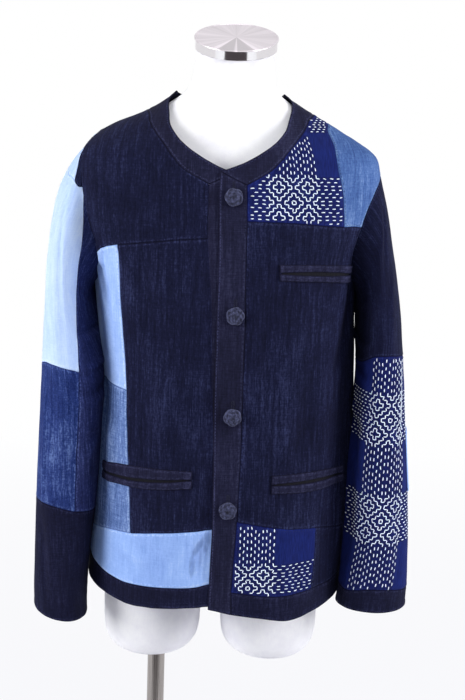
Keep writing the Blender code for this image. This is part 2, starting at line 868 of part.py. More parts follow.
RINGS = {side: sleeve_rings(side) for side in (RIGHT, LEFT)}

# Steps are counted from the underarm, 12, over the back, 18, the outer line, 24, and the front, 30, to 36.
CUFF_SEAM = [(12, 6.9), (19, 6.86), (25, 6.8), (29, 6.75), (32, 6.81), (36, 6.9)]
DENIM_SEAM = [(12, 4.95), (19, 4.9), (24, 4.97), (27, 4.8), (29.3, 4.63), (32, 4.45), (36, 4.4)]
crown_seam = across(19, 26, 1.1)
corner_low = [(26, 1.1), (26.5, 0.96), (27, 0.8)]
corner_side = [(27, 0.8), (27.4, 0.52), (27.8, 0.25), (28, 0)]
light_foot = across(19, 32, DENIM_SEAM)
denim_foot = across(19, 32, CUFF_SEAM)
light_front = curve([(29, 0), (31.4, 1.0), (32, 2.4), (32, light_foot[-1][1])], 7, stretch=0.35)
light_back = down(19, 1.1, light_foot[0][1], 7)
denim_front = down(32, light_foot[-1][1], denim_foot[-1][1], 3)
denim_back = down(19, light_foot[0][1], denim_foot[0][1], 3)

sleeve_piece(
    "right_sleeve_crown",
    RIGHT,
    "light_blue",
    upper=across(19, 26, 0),
    lower=crown_seam,
    first=down(19, 0, 1.1, 3),
    last=down(26, 0, 1.1, 3),
)
sleeve_piece(
    "right_sleeve_corner",
    RIGHT,
    "indigo",
    upper=across(26, 28, 0),
    lower=corner_low,
    first=down(26, 0, 1.1, 3),
    last=corner_side[::-1],
    gaps=(SLEEVE_HALF_GAP, LONG_SEAM_HALF_GAP, WIDE_HALF_GAP, WIDE_HALF_GAP),
)
sleeve_piece(
    "right_sleeve_light_panel",
    RIGHT,
    "light_blue",
    upper=crown_seam + corner_low[1:] + [(27.44, 0.54), (27.86, 0.27), (28.1, 0), (29, 0)],
    lower=light_foot,
    first=light_back,
    last=light_front,
)
sleeve_piece(
    "right_sleeve_denim_patch",
    RIGHT,
    "mid_denim",
    upper=light_foot,
    lower=denim_foot,
    first=denim_back,
    last=denim_front,
)
sleeve_piece(
    "right_sleeve_inner",
    RIGHT,
    "indigo",
    upper=across(29, 43, 0),
    lower=across(32, 43, CUFF_SEAM, 14),
    first=joined(halved(light_front[:4]), light_front[3:], denim_front),
    last=[(43, place) for step, place in joined(down(19, 0, 1.1, 3), light_back, denim_back)],
)
sleeve_piece(
    "right_sleeve_cuff",
    RIGHT,
    "charcoal",
    upper=across(12, 36, CUFF_SEAM),
    lower=across(12, 36, 9),
    first=down(12, 6.9, 9, 2),
    last=down(36, 6.9, 9, 2),
)

# ---------------------------------------------------------------- left sleeve

ELBOW_SEAM = [(12, 3.6), (18, 4.4), (24, 4.86), (27, 4.65), (29.5, 4.28), (32, 3.86), (36, 3.6)]
WRIST_SEAM = [(12, 8.35), (21, 8.5), (26, 8.4), (28.6, 8.28), (31, 8.26), (33.6, 8.4), (36, 8.35)]
elbow_back = row_at(ELBOW_SEAM, 21)[0]

sleeve_piece(
    "left_sleeve_upper",
    LEFT,
    "indigo",
    upper=across(12, 36, 0),
    lower=across(12, 36, ELBOW_SEAM),
    first=down(12, 0, 3.6, 6),
    last=down(36, 0, 3.6, 6),
)
sleeve_piece(
    "left_sleeve_sashiko",
    LEFT,
    "sashiko",
    upper=across(21, 36, ELBOW_SEAM),
    lower=across(21, 36, WRIST_SEAM),
    first=down(21, elbow_back, 8.5, 7),
    last=down(36, 3.6, 8.35, 7),
)
sleeve_piece(
    "left_sleeve_back",
    LEFT,
    "indigo",
    upper=across(12, 21, ELBOW_SEAM),
    lower=across(12, 21, WRIST_SEAM),
    first=down(12, 3.6, 8.35, 7),
    last=down(21, elbow_back, 8.5, 7),
)
sleeve_piece(
    "left_sleeve_cuff",
    LEFT,
    "charcoal",
    upper=across(12, 36, WRIST_SEAM),
    lower=across(12, 36, 9),
    first=down(12, 8.35, 9, 1),
    last=down(36, 8.35, 9, 1),
)
sleeve_piece(
    "left_sleeve_light_patch",
    LEFT,
    "light_blue",
    upper=[(22 + i / 2, 5.95) for i in range(8)],
    lower=[(22 + i / 2, 6.75) for i in range(8)],
    first=down(22, 5.95, 6.75, 2),
    last=down(25.5, 5.95, 6.75, 2),
    out=LAID_ON + 0.3,
)

# ---------------------------------------------------------------- pockets and buttons

Pocket = namedtuple("Pocket", "name top slit bottom")
POCKETS = [
    Pocket(
        "chest_pocket",
        [(28, 462), (48, 461), (70, 456)],
        [(28, 451), (48, 449), (70, 444)],
        [(28, 441), (48, 438), (70, 432)],
    ),
    Pocket(
        "right_pocket",
        [(-65.5, 178), (-51, 184), (-35, 188), (-12, 190)],
        [(-65, 166), (-51, 166), (-35, 170), (-12, 178)],
        [(-65, 153), (-53, 155), (-35, 158), (-12, 166)],
    ),
    Pocket(
        "left_pocket",
        [(26.5, 186), (45, 186), (69, 181)],
        [(26.5, 173), (45, 173), (69, 170)],
        [(26.5, 161), (50, 158), (69, 158)],
    ),
]


def welt(name, low, high):
    """One lip of a pocket, laid on the front between two edges."""
    low, high = curve(low, 8), curve(high, 8)
    body_piece(name, "charcoal", low, high, [low[0], high[0]], [low[-1], high[-1]], out=LAID_ON)


for pocket in POCKETS:
    welt(pocket.name + "_upper_welt", raised(pocket.slit, SLIT_HALF_GAP), pocket.top)
    welt(pocket.name + "_lower_welt", pocket.bottom, raised(pocket.slit, -SLIT_HALF_GAP))

BUTTONS = [(10, 544), (17, 396), (18, 265), (16, 139)]
for number, (x, height) in enumerate(BUTTONS, 1):
    place = at_x(x, height)
    outward = (on_body(*place, 1.0) - on_body(*place)).normalized()
    middle = on_body(*place, BUTTON_GAP + BUTTON_HALF_RISE) + Vector((0, 0, HEM_ABOVE_FLOOR))
    bpy.ops.mesh.primitive_uv_sphere_add(segments=16, ring_count=8, radius=BUTTON_RADIUS * MM)
    button = bpy.context.active_object
    button.scale = (1, 1, BUTTON_HALF_RISE / BUTTON_RADIUS)
    button.rotation_euler = outward.to_track_quat("Z", "Y").to_euler()
    button.location = middle * MM
    finish(button, f"button_{number}", jacket, "button_cord")

# ---------------------------------------------------------------- torso form and stand

torso_rings = []
for i in range(len(FORM) * 2 - 1):
    height = FORM[i // 2].height if i % 2 == 0 else (FORM[i // 2].height + FORM[i // 2 + 1].height) / 2
    half_width, front, back, middle_x, rake = row_at(FORM, height)
    torso_rings.append(ellipse_ring(middle_x, half_width, front, back, height, rake))
torso = loft("torso_body", torso_rings, stand, "form_jersey")
for side in (RIGHT, LEFT):
    rings = []
    for row in LEG:
        depth = row.half_depth
        rings.append(ellipse_ring(LEG_X[side], row.half_width, depth, depth, row.height))
    leg = loft("leg_cutter_" + ("right" if side == RIGHT else "left"), rings, cutters, "form_jersey")
    union = torso.modifiers.new("leg", "BOOLEAN")
    union.operation = "UNION"
    union.solver = "EXACT"
    union.object = as_cutter(leg)

neck_up = Vector((0, -FORM[-1].rake, 1)).normalized()
neck_top = Vector((FORM[-1].middle_x, 0, FORM[-1].height + HEM_ABOVE_FLOOR))
cap_foot = neck_top + neck_up * PART_GAP
cylinder("neck_cap", CAP_RADIUS, CAP_HEIGHT, cap_foot, neck_up, 1.5, stand, "brushed_steel")

upright = Vector((0, 0, 1))
pole_foot = Vector((POLE_X, 0, BASE_THICKNESS + PART_GAP))
pole_height = LEG[0].height + HEM_ABOVE_FLOOR - PART_GAP - pole_foot.z
cylinder("stand_pole", POLE_RADIUS, pole_height, pole_foot, upright, 0, stand, "brushed_steel", 32)
cylinder("base_plate", BASE_RADIUS, BASE_THICKNESS, Vector(), upright, 2.0, stand, "brushed_steel", 72)
steel = "brushed_steel"
socket = cylinder("pole_socket", SOCKET_RADIUS, SOCKET_HEIGHT, pole_foot, upright, 2.0, stand, steel)
bore_foot = pole_foot - upright * 5
bore_radius = POLE_RADIUS + PART_GAP
bore = cylinder("bore_cutter", bore_radius, SOCKET_HEIGHT + 10, bore_foot, upright, 0, cutters, steel)
drill = socket.modifiers.new("bore", "BOOLEAN")
drill.operation = "DIFFERENCE"
drill.solver = "EXACT"
drill.object = as_cutter(bore)
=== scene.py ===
# %% [markdown]
# # A patched jacket on a torso form
#
# The real thing is a work jacket pieced from old indigo cottons: dark panels, washed-out pale patches
# and two kinds of hand stitching, buttoned over a white torso form on a steel pole. Everything is built
# in the CAD model's own frame, so each cloth piece lies exactly where its solid stands.
#
# We first load that frame.

import json
import math

import bpy
import numpy as np
from mathutils import Matrix, Vector

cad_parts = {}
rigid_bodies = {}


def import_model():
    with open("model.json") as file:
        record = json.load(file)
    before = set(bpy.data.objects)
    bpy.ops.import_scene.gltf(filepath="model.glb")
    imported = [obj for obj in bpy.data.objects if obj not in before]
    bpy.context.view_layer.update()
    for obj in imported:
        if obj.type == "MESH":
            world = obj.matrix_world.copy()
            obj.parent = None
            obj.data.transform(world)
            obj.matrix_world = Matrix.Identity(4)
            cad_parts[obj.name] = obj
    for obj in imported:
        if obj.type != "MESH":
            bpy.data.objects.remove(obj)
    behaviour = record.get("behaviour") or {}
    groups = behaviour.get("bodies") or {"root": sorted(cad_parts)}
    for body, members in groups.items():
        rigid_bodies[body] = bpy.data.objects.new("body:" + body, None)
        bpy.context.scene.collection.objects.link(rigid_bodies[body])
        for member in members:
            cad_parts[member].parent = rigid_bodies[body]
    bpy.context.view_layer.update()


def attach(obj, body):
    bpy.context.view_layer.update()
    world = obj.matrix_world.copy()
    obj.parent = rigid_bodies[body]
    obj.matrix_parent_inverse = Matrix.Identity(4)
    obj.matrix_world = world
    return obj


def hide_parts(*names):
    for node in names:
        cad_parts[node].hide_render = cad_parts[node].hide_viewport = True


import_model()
MM = 0.001

# %% [markdown]
# ## Camera
#
# The camera stands 1.65 m in front of the chest, a little above it, and looks down by eleven degrees.
# It leans by two degrees. Making its axes as vectors first shows what each number does.

# %% Camera
LOOK_DOWN = math.radians(11.3)
LEAN = math.radians(2.0)
forward = Vector((0, math.cos(LOOK_DOWN), -math.sin(LOOK_DOWN)))
level = Vector((1, 0, 0))
upward = level.cross(forward)
right_axis = level * math.cos(LEAN) + upward * math.sin(LEAN)
up_axis = upward * math.cos(LEAN) - level * math.sin(LEAN)

camera_data = bpy.data.cameras.new("camera")
camera_data.sensor_width = 36
camera_data.lens = 61.7
camera = bpy.data.objects.new("camera", camera_data)
bpy.context.scene.collection.objects.link(camera)
turn = Matrix((right_axis, up_axis, -forward)).transposed().to_4x4()
camera.matrix_world = Matrix.Translation((0.015, -1.65, 1.2726)) @ turn
bpy.context.scene.camera = camera
print("camera at", [round(c, 3) for c in camera.location])

# %% [markdown]
# ## Curves through short tables
#
# A garment's form is easiest to hold in a few measured rows: at this height it is so wide and so deep.
# `rows_at` runs a smooth curve through such a table. It takes whole arrays, so that a panel with
# thousands of points is worked out at once.

# %% Table helpers
def hermite(start, end, leave, arrive, t):
    """A cubic from start to end with the given slopes."""
    return (
        (1 + 2 * t) * (1 - t) ** 2 * start
        + t * (1 - t) ** 2 * leave
        + t * t * (3 - 2 * t) * end
        - t * t * (1 - t) * arrive
    )


def rows_at(rows, key):
    """The other columns of a table at these keys, on a smooth curve through its rows."""
    table = np.array(rows, float)
    places, columns = table[:, 0], table[:, 1:]
    key = np.clip(np.asarray(key, float), places[0], places[-1])
    i = np.clip(np.searchsorted(places, key, side="right") - 1, 0, len(places) - 2)
    before, after = np.maximum(i - 1, 0), np.minimum(i + 2, len(places) - 1)
    span = (places[i + 1] - places[i])[..., None]
    leave = (columns[i + 1] - columns[before]) / (places[i + 1] - places[before])[..., None] * span
    arrive = (columns[after] - columns[i]) / (places[after] - places[i])[..., None] * span
    return hermite(columns[i], columns[i + 1], leave, arrive, (key - places[i])[..., None] / span)


def ease(t):
    """0 to 1, level at both ends."""
    t = np.clip(t, 0.0, 1.0)
    return t * t * (3 - 2 * t)


def unit(vectors):
    """The same directions with length 1."""
    return vectors / np.linalg.norm(vectors, axis=-1, keepdims=True)


def wrapped(turn, whole):
    """A turn counted from minus half a turn to plus half a turn."""
    return (turn + whole / 2) % whole - whole / 2


def solve(function, low, high, shape=()):
    """Where a function that rises through zero between low and high is zero."""
    low, high = np.full(shape, float(low)), np.full(shape, float(high))
    for _ in range(36):
        middle = (low + high) / 2
        below = function(middle) < 0
        low, high = np.where(below, middle, low), np.where(below, high, middle)
    return (low + high) / 2


def picked(obj):
    """Makes this the only selected object, and the active one."""
    bpy.ops.object.select_all(action="DESELECT")
    if obj:
        obj.select_set(True)
        bpy.context.view_layer.objects.active = obj
    return obj


def linked(name, data):
    """A new object with this data, in the scene."""
    obj = bpy.data.objects.new(name, data)
    bpy.context.scene.collection.objects.link(obj)
    return obj


def mesh_object(name, vertices, faces):
    """An object from points in mm and faces."""
    mesh = bpy.data.meshes.new(name)
    mesh.from_pydata((vertices * MM).tolist(), [], faces)
    return linked(name, mesh)


def outwards(obj):
    """Turns all normals outwards and shades the object smooth."""
    picked(obj)
    bpy.ops.object.mode_set(mode="EDIT")
    bpy.ops.mesh.select_all(action="SELECT")
    bpy.ops.mesh.normals_make_consistent(inside=False)
    bpy.ops.object.mode_set(mode="OBJECT")
    bpy.ops.object.shade_smooth()


def point_values(mesh, label, values):
    """One number for each vertex, which a material can read."""
    made = mesh.attributes.new(label, "FLOAT", "POINT")
    made.data.foreach_set("value", values.astype(np.float32))


dice = np.random.default_rng(7)
LATTICE = dice.random((64, 64))


def ripple(x, y, seed=0):
    """Smooth noise from -1 to 1 that changes over a distance of 1."""
    x, y = np.asarray(x, float) + 17.3 * seed, np.asarray(y, float) + 5.1 * seed
    i, j = np.floor(x).astype(int), np.floor(y).astype(int)
    s, t = ease(x - i), ease(y - j)
    a, b = LATTICE[i % 64, j % 64], LATTICE[(i + 1) % 64, j % 64]
    c, d = LATTICE[i % 64, (j + 1) % 64], LATTICE[(i + 1) % 64, (j + 1) % 64]
    return (a * (1 - s) * (1 - t) + b * s * (1 - t) + c * (1 - s) * t + d * s * t) * 2 - 1


print("helpers ready, hermite half way", hermite(0, 1, 0, 0, 0.5))

# %% [markdown]
# ## The jacket's body
#
# A place on the body is given as an angle and a height. Angle 0 is the centre front, 90 the wearer's
# left side and 180 the back. Heights count from the hem, in millimetres. Each level ring is a squarish
# oval, because worn cloth runs flatter over the chest than a true ellipse does.
#
# The soft folds at the hem come from a second table, the same as in the solids.

# %% Body rings
HEM = 620.0
RIGHT, LEFT = -1, 1
# height, half width right, left, depth front, back, squareness
BODY = [
    (-40, 184, 186, 149, 138, 2.15),
    (0, 183, 185, 150, 137, 2.15),
    (100, 177, 185, 151, 134, 2.2),
    (180, 172, 182, 151, 131, 2.2),
    (250, 168, 179, 150, 129, 2.25),
    (316, 166, 176, 148, 128, 2.3),
    (400, 172, 173, 144, 127, 2.4),
    (463, 180, 178, 138, 127, 2.5),
    (507, 199, 195, 132, 124, 2.5),
    (550, 208, 206, 123, 117, 2.5),
    (577, 207, 206, 115, 109, 2.4),
    (600, 199, 197, 105, 98, 2.3),
    (628, 160, 153, 82, 80, 2.15),
    (651, 108, 111, 60, 66, 2.0),
    (676, 72, 72, 47, 60, 2.0),
    (700, 56, 56, 50, 56, 2.0),
]
# angle, width in degrees, depth at the hem, height where it fades out
BODY_FOLDS = [
    (-24, 13, 4.0, 330),
    (-52, 11, -2.5, 260),
    (36, 15, 6.0, 360),
    (66, 10, -3.0, 300),
    (128, 13, 5.0, 380),
    (-126, 13, 5.0, 380),
    (180, 16, -4.0, 420),
]


def ring_radius(angle, height):
    """The body's radius without its folds."""
    right, left, front, back, square = np.moveaxis(rows_at(BODY, height), -1, 0)
    s, c = np.sin(np.radians(angle)), np.cos(np.radians(angle))
    half_width = np.where(s > 0, left, right)
    depth = np.where(c > 0, front, back)
    return (np.abs(s / half_width) ** square + np.abs(c / depth) ** square) ** (-1 / square)


def x_of(angle, height):
    """How far to the side a place on the ring lies."""
    return ring_radius(angle, height) * np.sin(np.radians(angle))


def fold_depth(angle, height):
    """How far the hem's folds swell the cloth out."""
    total = 0.0
    for middle, width, depth, top in BODY_FOLDS:
        share = ease((top - height) / (top + 20))
        total = total + depth * share * np.exp(-((wrapped(angle - middle, 360) / width) ** 2))
    return total


print("radius at the waist, front and side:", ring_radius(0, 316).round(1), ring_radius(90, 316).round(1))

# %% [markdown]
# ## Creases, listed one by one
#
# Old cotton never hangs quite smooth. Each crease is one line of this table: where it starts and ends,
# how much it bows, and its width and depth. A trough is negative and gets a small ridge on one side, as
# when cloth is pushed. They are uneven on purpose, and the back has its own.

# %% Creases of the body
ARC = 2.88  # mm round the body for one degree
BODY_STRENGTH = 1.4
FLANK, FLANK_AT = 0.45, 1.9  # the ridge beside a trough: its share of the depth, and its place in widths
RUN_OUT, RUN_IN = 0.12, 0.34  # shares of a crease's length over which it starts and ends
# angle and height at both ends, bow, width, depth, all but the angles in mm
BODY_CREASES = [
    # right armpit and side, where the pale strip is pushed up into a pillow
    (-71, 474, -67, 446, 1, 8.0, 2.4),
    (-61.5, 474, -66, 438, 2, 2.6, -1.8),
    (-70, 478, -66, 398, 5, 5.0, -2.6),
    (-78, 440, -72, 330, 8, 7.0, -2.2),
    (-62, 452, -57, 372, -4, 6.0, 1.2),
    (-74, 300, -66, 214, -5, 9.0, -1.8),
    (-60, 236, -54, 120, 6, 10.0, 1.6),
    # right front panel
    (-40, 470, -26, 330, 14, 12.0, -1.6),
    (-34, 330, -30, 205, -8, 13.0, 1.4),
    (-22, 300, -19, 190, 6, 11.0, -1.2),
    (-13, 470, -12, 410, 3, 8.0, -0.9),
    (-30, 140, -26, 104, 3, 8.0, -0.9),
    # pale hem patch, pushed together beside the front band
    (-6.0, 98, -7.4, 44, 2.0, 2.6, -1.5),
    (-9.5, 88, -10.3, 50, -1.5, 2.4, 1.0),
    (-13.0, 94, -13.4, 58, 1.2, 3.2, -0.9),
    (-3.6, 76, -4.4, 42, 0.8, 2.0, -0.8),
    (-52, 70, -30, 60, 3, 7.0, 0.8),
    # left front panel
    (74, 438, 56, 300, -16, 12.0, -2.4),
    (66, 470, 52, 402, -8, 9.0, 1.4),
    (58, 330, 54, 205, 8, 13.0, 1.6),
    (42, 300, 38, 200, -6, 12.0, -1.6),
    (25, 420, 24, 300, 4, 10.0, -1.0),
    (38, 150, 34, 20, 5, 12.0, 1.3),
    (52, 140, 55, 10, -5, 11.0, -1.6),
    (70, 190, 68, 40, 4, 12.0, 1.8),
    # pulls from the buttons
    (6, 392, 14, 388, 1, 4.0, -0.7),
    (5, 262, 15, 256, 1, 4.0, -0.6),
    # shoulders
    (-64, 560, -40, 522, 8, 9.0, -1.4),
    (-48, 596, -30, 560, -5, 9.0, 1.0),
    (66, 566, 60, 524, 5, 9.0, -1.1),
    # back
    (112, 560, 130, 452, -14, 14.0, -2.4),
    (-112, 556, -134, 440, 16, 13.0, -2.6),
    (140, 590, 165, 520, -8, 13.0, 1.5),
    (-150, 585, -172, 508, 9, 12.0, -1.6),
    (118, 420, 138, 250, 14, 16.0, 2.4),
    (-116, 410, -140, 262, -12, 16.0, 2.2),
    (158, 400, 150, 210, -10, 15.0, -2.0),
    (-160, 360, -152, 180, 10, 16.0, -2.2),
    (176, 300, -178, 90, 8, 14.0, 1.6),
    (130, 200, 122, 20, 8, 14.0, -2.4),
    (-128, 190, -120, 10, -9, 13.0, -2.2),
    (100, 380, 104, 180, 6, 12.0, -2.0),
    (-100, 370, -105, 200, -7, 12.0, -1.8),
    (91, 40, 91, 540, 0, 44.0, 6.6),
    (-90, 230, -90, 480, 0, 34.0, 3.0),
]


def creases(rows, turn, level, whole, turn_mm, level_mm):
    """How far a table of creases moves the cloth out. A whole turn and both units in mm are given."""
    total = 0.0
    for from_turn, from_level, to_turn, to_level, bow, width, depth in rows:
        run = wrapped(to_turn - from_turn, whole) * turn_mm, (to_level - from_level) * level_mm
        length = math.hypot(*run)
        way = run[0] / length, run[1] / length
        x, y = wrapped(turn - from_turn, whole) * turn_mm, (level - from_level) * level_mm
        t = (x * way[0] + y * way[1]) / length
        across = (x * way[1] - y * way[0] - bow * 4 * t * (1 - t)) / width
        share = ease(np.clip(t + RUN_OUT, 0, 1) / RUN_IN) * ease(np.clip(1 + RUN_OUT - t, 0, 1) / RUN_IN)
        total = total + depth * share * (np.exp(-(across**2)) - FLANK * np.exp(-((across - FLANK_AT) ** 2)))
    return total


def crease_depth(angle, height):
    """The body's creases, with the faint unevenness of all worn cotton."""
    uneven = 0.8 * ripple(angle * ARC / 34, height / 46, 1) + 0.3 * ripple(angle * ARC / 13, height / 19, 2)
    return uneven + BODY_STRENGTH * creases(BODY_CREASES, angle, height, 360, ARC, 1)


def moved_out(face, a, b, reach, out):
    """Points of a face, moved out along its normal, which is measured over a small reach both ways."""
    points = face(a, b)
    if np.ndim(out) or out:
        around = face(a + reach[0], b) - face(a - reach[0], b)
        along = face(a, b + reach[1]) - face(a, b - reach[1])
        points = points + unit(np.cross(around, along)) * np.asarray(out)[..., None]
    return points


def on_body(angle, height, out=0.0):
    """Points of the jacket's outer face, moved out along the cloth's normal."""
    angle, height = np.broadcast_arrays(np.asarray(angle, float), np.asarray(height, float))

    def face(a, h):
        """Points of the bare face."""
        radius = ring_radius(a, h) + fold_depth(a, h) + crease_depth(a, h)
        s, c = np.sin(np.radians(a)), np.cos(np.radians(a))
        return np.stack([radius * s, -radius * c, h + HEM], -1)

    return moved_out(face, angle, height, (0.4, 0.8), out)


print("creases on the body:", len(BODY_CREASES))

# %% [markdown]
# ## Sleeves
#
# A sleeve is ten rings from the armhole to the cuff. A place on it is a step round the ring, where 24
# steps are one turn, and a ring number. Steps run from the outer line, 24, over the front, 30, to the
# underarm, 36, and over the back, 18, to 12. The first ring is the armhole itself, so that the sleeve
# meets the body along one seam.

# %% Sleeve rings
STEPS = 24
# outer point x and height, under point x and height, how far back it hangs, half its depth
SLEEVES = {
    RIGHT: [
        (211, 577, 181, 398, -3, 77),
        (228, 529, 182, 376, -8, 80),
        (238, 460, 178, 347, -18, 79),
        (242, 388, 170, 311, -34, 75),
        (244, 306, 165.5, 261, -50, 70),
        (246, 208, 168.5, 186, -57, 64),
        (249, 105, 171, 96, -61, 57),
        (251, 13, 177, 8, -64, 52),
        (250, -31, 178, -48, -65, 50),
    ],
    LEFT: [
        (213, 549, 182, 398, -3, 77),
        (220, 521, 185, 376, -6, 80),
        (230, 467, 187, 344, -12, 80),
        (241, 399, 188, 306, -22, 77),
        (249, 322, 185, 257, -36, 71),
        (256, 230, 179, 190, -49, 63),
        (265, 125, 178, 110, -58, 54),
        (269, 35, 176, 30, -62, 47),
        (269, -17, 172, -17, -63, 43),
    ],
}
CUFF = len(SLEEVES[RIGHT])  # the ring at a sleeve's end
# step, place, width in steps, reach in places, depth
SLEEVE_FOLDS = {
    RIGHT: [
        (5, 2.2, 2.2, 1.0, 3.5),
        (8, 3.6, 1.8, 0.9, -4.0),
        (3, 5.0, 2.2, 0.9, -3.5),
        (18, 4.4, 2.2, 1.0, -4.0),
        (5, 6.6, 2.2, 0.9, 3.0),
    ],
    LEFT: [
        (7, 2.4, 1.8, 1.0, -4.0),
        (4, 3.8, 2.0, 0.9, 3.5),
        (8, 5.2, 2.0, 0.9, -3.5),
        (17, 4.2, 2.2, 1.0, -4.0),
        (5, 6.8, 2.0, 0.9, 3.0),
    ],
}
SLEEVE_STRENGTH = 1.5
STEP_MM, PLACE_MM = 16.0, 62.0  # how long a step and a place are
# step and place at both ends, bow in mm, width, depth
SLEEVE_CREASES = {
    RIGHT: [
        (26.5, 0.9, 29.2, 2.9, 6, 6.0, -1.9),
        (24.6, 1.3, 27.0, 3.9, -8, 8.0, 1.7),
        (28.6, 2.6, 30.0, 4.5, 5, 7.0, -1.5),
        (34.5, 1.4, 31.0, 2.6, -6, 6.0, -2.2),
        (36.5, 2.6, 31.5, 3.7, -6, 6.5, -2.4),
        (37.0, 3.7, 31.8, 4.4, 5, 6.0, 1.9),
        (36.0, 4.7, 30.5, 4.9, 6, 6.5, -2.2),
        (26.6, 4.9, 27.4, 6.7, 4, 6.0, 1.8),
        (28.8, 5.1, 29.4, 6.3, -4, 7.0, -1.4),
        (35.0, 5.6, 31.0, 6.2, -5, 7.0, -1.7),
        (27.5, 7.0, 28.4, 8.4, 4, 8.0, -1.6),
        (31.8, 7.2, 30.8, 8.7, -4, 8.0, 1.4),
        (20.5, 1.0, 18.0, 2.9, 8, 9.0, -2.4),
        (17.5, 3.4, 22.0, 4.3, 6, 8.0, -2.6),
        (16.0, 4.3, 21.5, 4.9, -5, 8.0, 2.0),
        (19.0, 5.3, 20.5, 7.8, 6, 10.0, -2.0),
        (37.4, 1.0, 37.2, 7.0, 0, 44.0, 5.4),
        (37.0, 0.8, 37.2, 4.6, 0, 38.0, 4.0),
    ],
    LEFT: [
        (26.6, 0.8, 28.4, 2.4, 5, 7.0, -1.8),
        (29.5, 1.2, 30.6, 3.2, -6, 8.0, 1.6),
        (34.0, 1.3, 30.8, 2.6, -5, 6.5, -2.2),
        (36.4, 2.4, 31.4, 3.5, 5, 6.5, -2.3),
        (27.0, 2.9, 28.6, 4.3, 5, 8.0, 1.4),
        (36.0, 3.9, 31.6, 4.6, -5, 6.5, -2.0),
        (36.4, 4.9, 32.4, 5.3, 5, 6.0, 1.6),
        (26.0, 4.9, 27.2, 6.2, -4, 9.0, -1.3),
        (34.6, 5.7, 32.4, 6.5, 4, 7.0, -1.6),
        (30.2, 6.6, 30.8, 7.9, 3, 9.0, 1.2),
        (27.4, 7.0, 27.8, 8.3, -3, 8.0, -1.2),
        (20.5, 1.0, 18.5, 2.8, -8, 9.0, -2.3),
        (17.4, 3.2, 22.0, 4.2, -6, 8.0, -2.5),
        (16.2, 4.1, 21.0, 4.8, 5, 8.0, 2.0),
        (19.5, 5.2, 20.0, 7.6, -5, 10.0, -2.0),
        (37.6, 0.8, 37.4, 5.3, 0, 42.0, 1.2),
        (34.6, 4.9, 34.4, 7.8, 0, 22.0, -5.0),
    ],
}
TIP = {RIGHT: 619.0, LEFT: 575.0}  # height of the shoulder's tip
HOLE_MIDDLE, HOLE_DROP, HOLE_DEPTH = 507.0, 93.0, 70.0  # the armhole's middle, half height below it, depth


def armhole(side, turn):
    """Angle and height on an armhole. Turn 0 is the shoulder tip, 90 the front and 180 the armpit."""
    turn = np.asarray(turn, float)
    y = -HOLE_DEPTH * np.sin(np.radians(turn))
    rise = np.cos(np.radians(turn))
    height = HOLE_MIDDLE + rise * np.where(rise > 0, TIP[side] - HOLE_MIDDLE, HOLE_DROP)
    bare = solve(lambda a: -ring_radius(side * a, height) * np.cos(np.radians(a)) - y, 2, 178, turn.shape)
    return np.stack([side * bare, height], -1)


def sleeve_ring(side, number, step):
    """Points of one ring of a sleeve at these steps."""
    turn = np.asarray(step, float) * 2 * np.pi / STEPS
    if number == 0:
        seam = armhole(side, np.degrees(turn) % 360)
        return on_body(seam[..., 0], seam[..., 1]) + np.array([-side * 0.5, 0, -HEM])
    outer_x, outer_h, under_x, under_h, middle_y, half_depth = SLEEVES[side][number - 1]
    x = (outer_x + under_x) / 2 + (outer_x - under_x) / 2 * np.cos(turn)
    height = (outer_h + under_h) / 2 + (outer_h - under_h) / 2 * np.cos(turn)
    return np.stack([side * x, middle_y - half_depth * np.sin(turn), height], -1)


FINE = 1440
FINE_STEPS = np.arange(FINE + 1) * STEPS / FINE
RINGS = {
    side: np.array([sleeve_ring(side, number, FINE_STEPS) for number in range(CUFF + 1)])
    for side in (RIGHT, LEFT)
}


def on_sleeve(side, step, place, out=0.0):
    """Points of a sleeve's outer face, moved out along the cloth's normal."""
    step, place = np.broadcast_arrays(np.asarray(step, float), np.asarray(place, float))
    rings = RINGS[side]
    hearts = rings[:, :-1].mean(1)

    def face(at_step, at_place):
        """Points of the bare face."""
        at_place = np.clip(at_place, 0, CUFF)
        spot = (at_step % STEPS) * FINE / STEPS
        low = np.clip(np.floor(spot).astype(int), 0, FINE - 1)
        share = (spot - low)[..., None]
        i = np.clip(np.floor(at_place).astype(int), 0, CUFF - 1)

        def ring(number):
            """The points of a ring at these steps."""
            number = np.clip(number, 0, CUFF)
            return rings[number, low] * (1 - share) + rings[number, low + 1] * share

        here, there = ring(i), ring(i + 1)
        leave = (there - ring(i - 1)) * np.where(i > 0, 0.5, 1.0)[..., None]
        arrive = (ring(i + 2) - here) * np.where(i < CUFF - 1, 0.5, 1.0)[..., None]
        t = (at_place - i)[..., None]
        point = hermite(here, there, leave, arrive, t)
        outward = point - hearts[i] * (1 - t) - hearts[i + 1] * t
        outward[..., 2] = 0
        around, down = at_step * STEP_MM, at_place * PLACE_MM
        swell = 0.5 * ripple(around / 30, down / 44, 3 + side)
        swell = swell + 0.22 * ripple(around / 12, down / 17, 5 + side)
        for at, along, width, reach, depth in SLEEVE_FOLDS[side]:
            off = wrapped(at_step - at, STEPS) / width
            swell = swell + depth * np.exp(-(off**2) - ((at_place - along) / reach) ** 2)
        rows = SLEEVE_CREASES[side]
        swell = swell + SLEEVE_STRENGTH * creases(rows, at_step, at_place, STEPS, STEP_MM, PLACE_MM)
        swell = swell * ease(at_place / 0.5)
        return point + unit(outward) * swell[..., None] + np.array([0, 0, HEM])

    return moved_out(face, step, place, (0.04, 0.02 * side), out)


def on_right(step, place, out=0.0):
    """Points of the right sleeve."""
    return on_sleeve(RIGHT, step, place, out)


def on_left(step, place, out=0.0):
    """Points of the left sleeve."""
    return on_sleeve(LEFT, step, place, out)


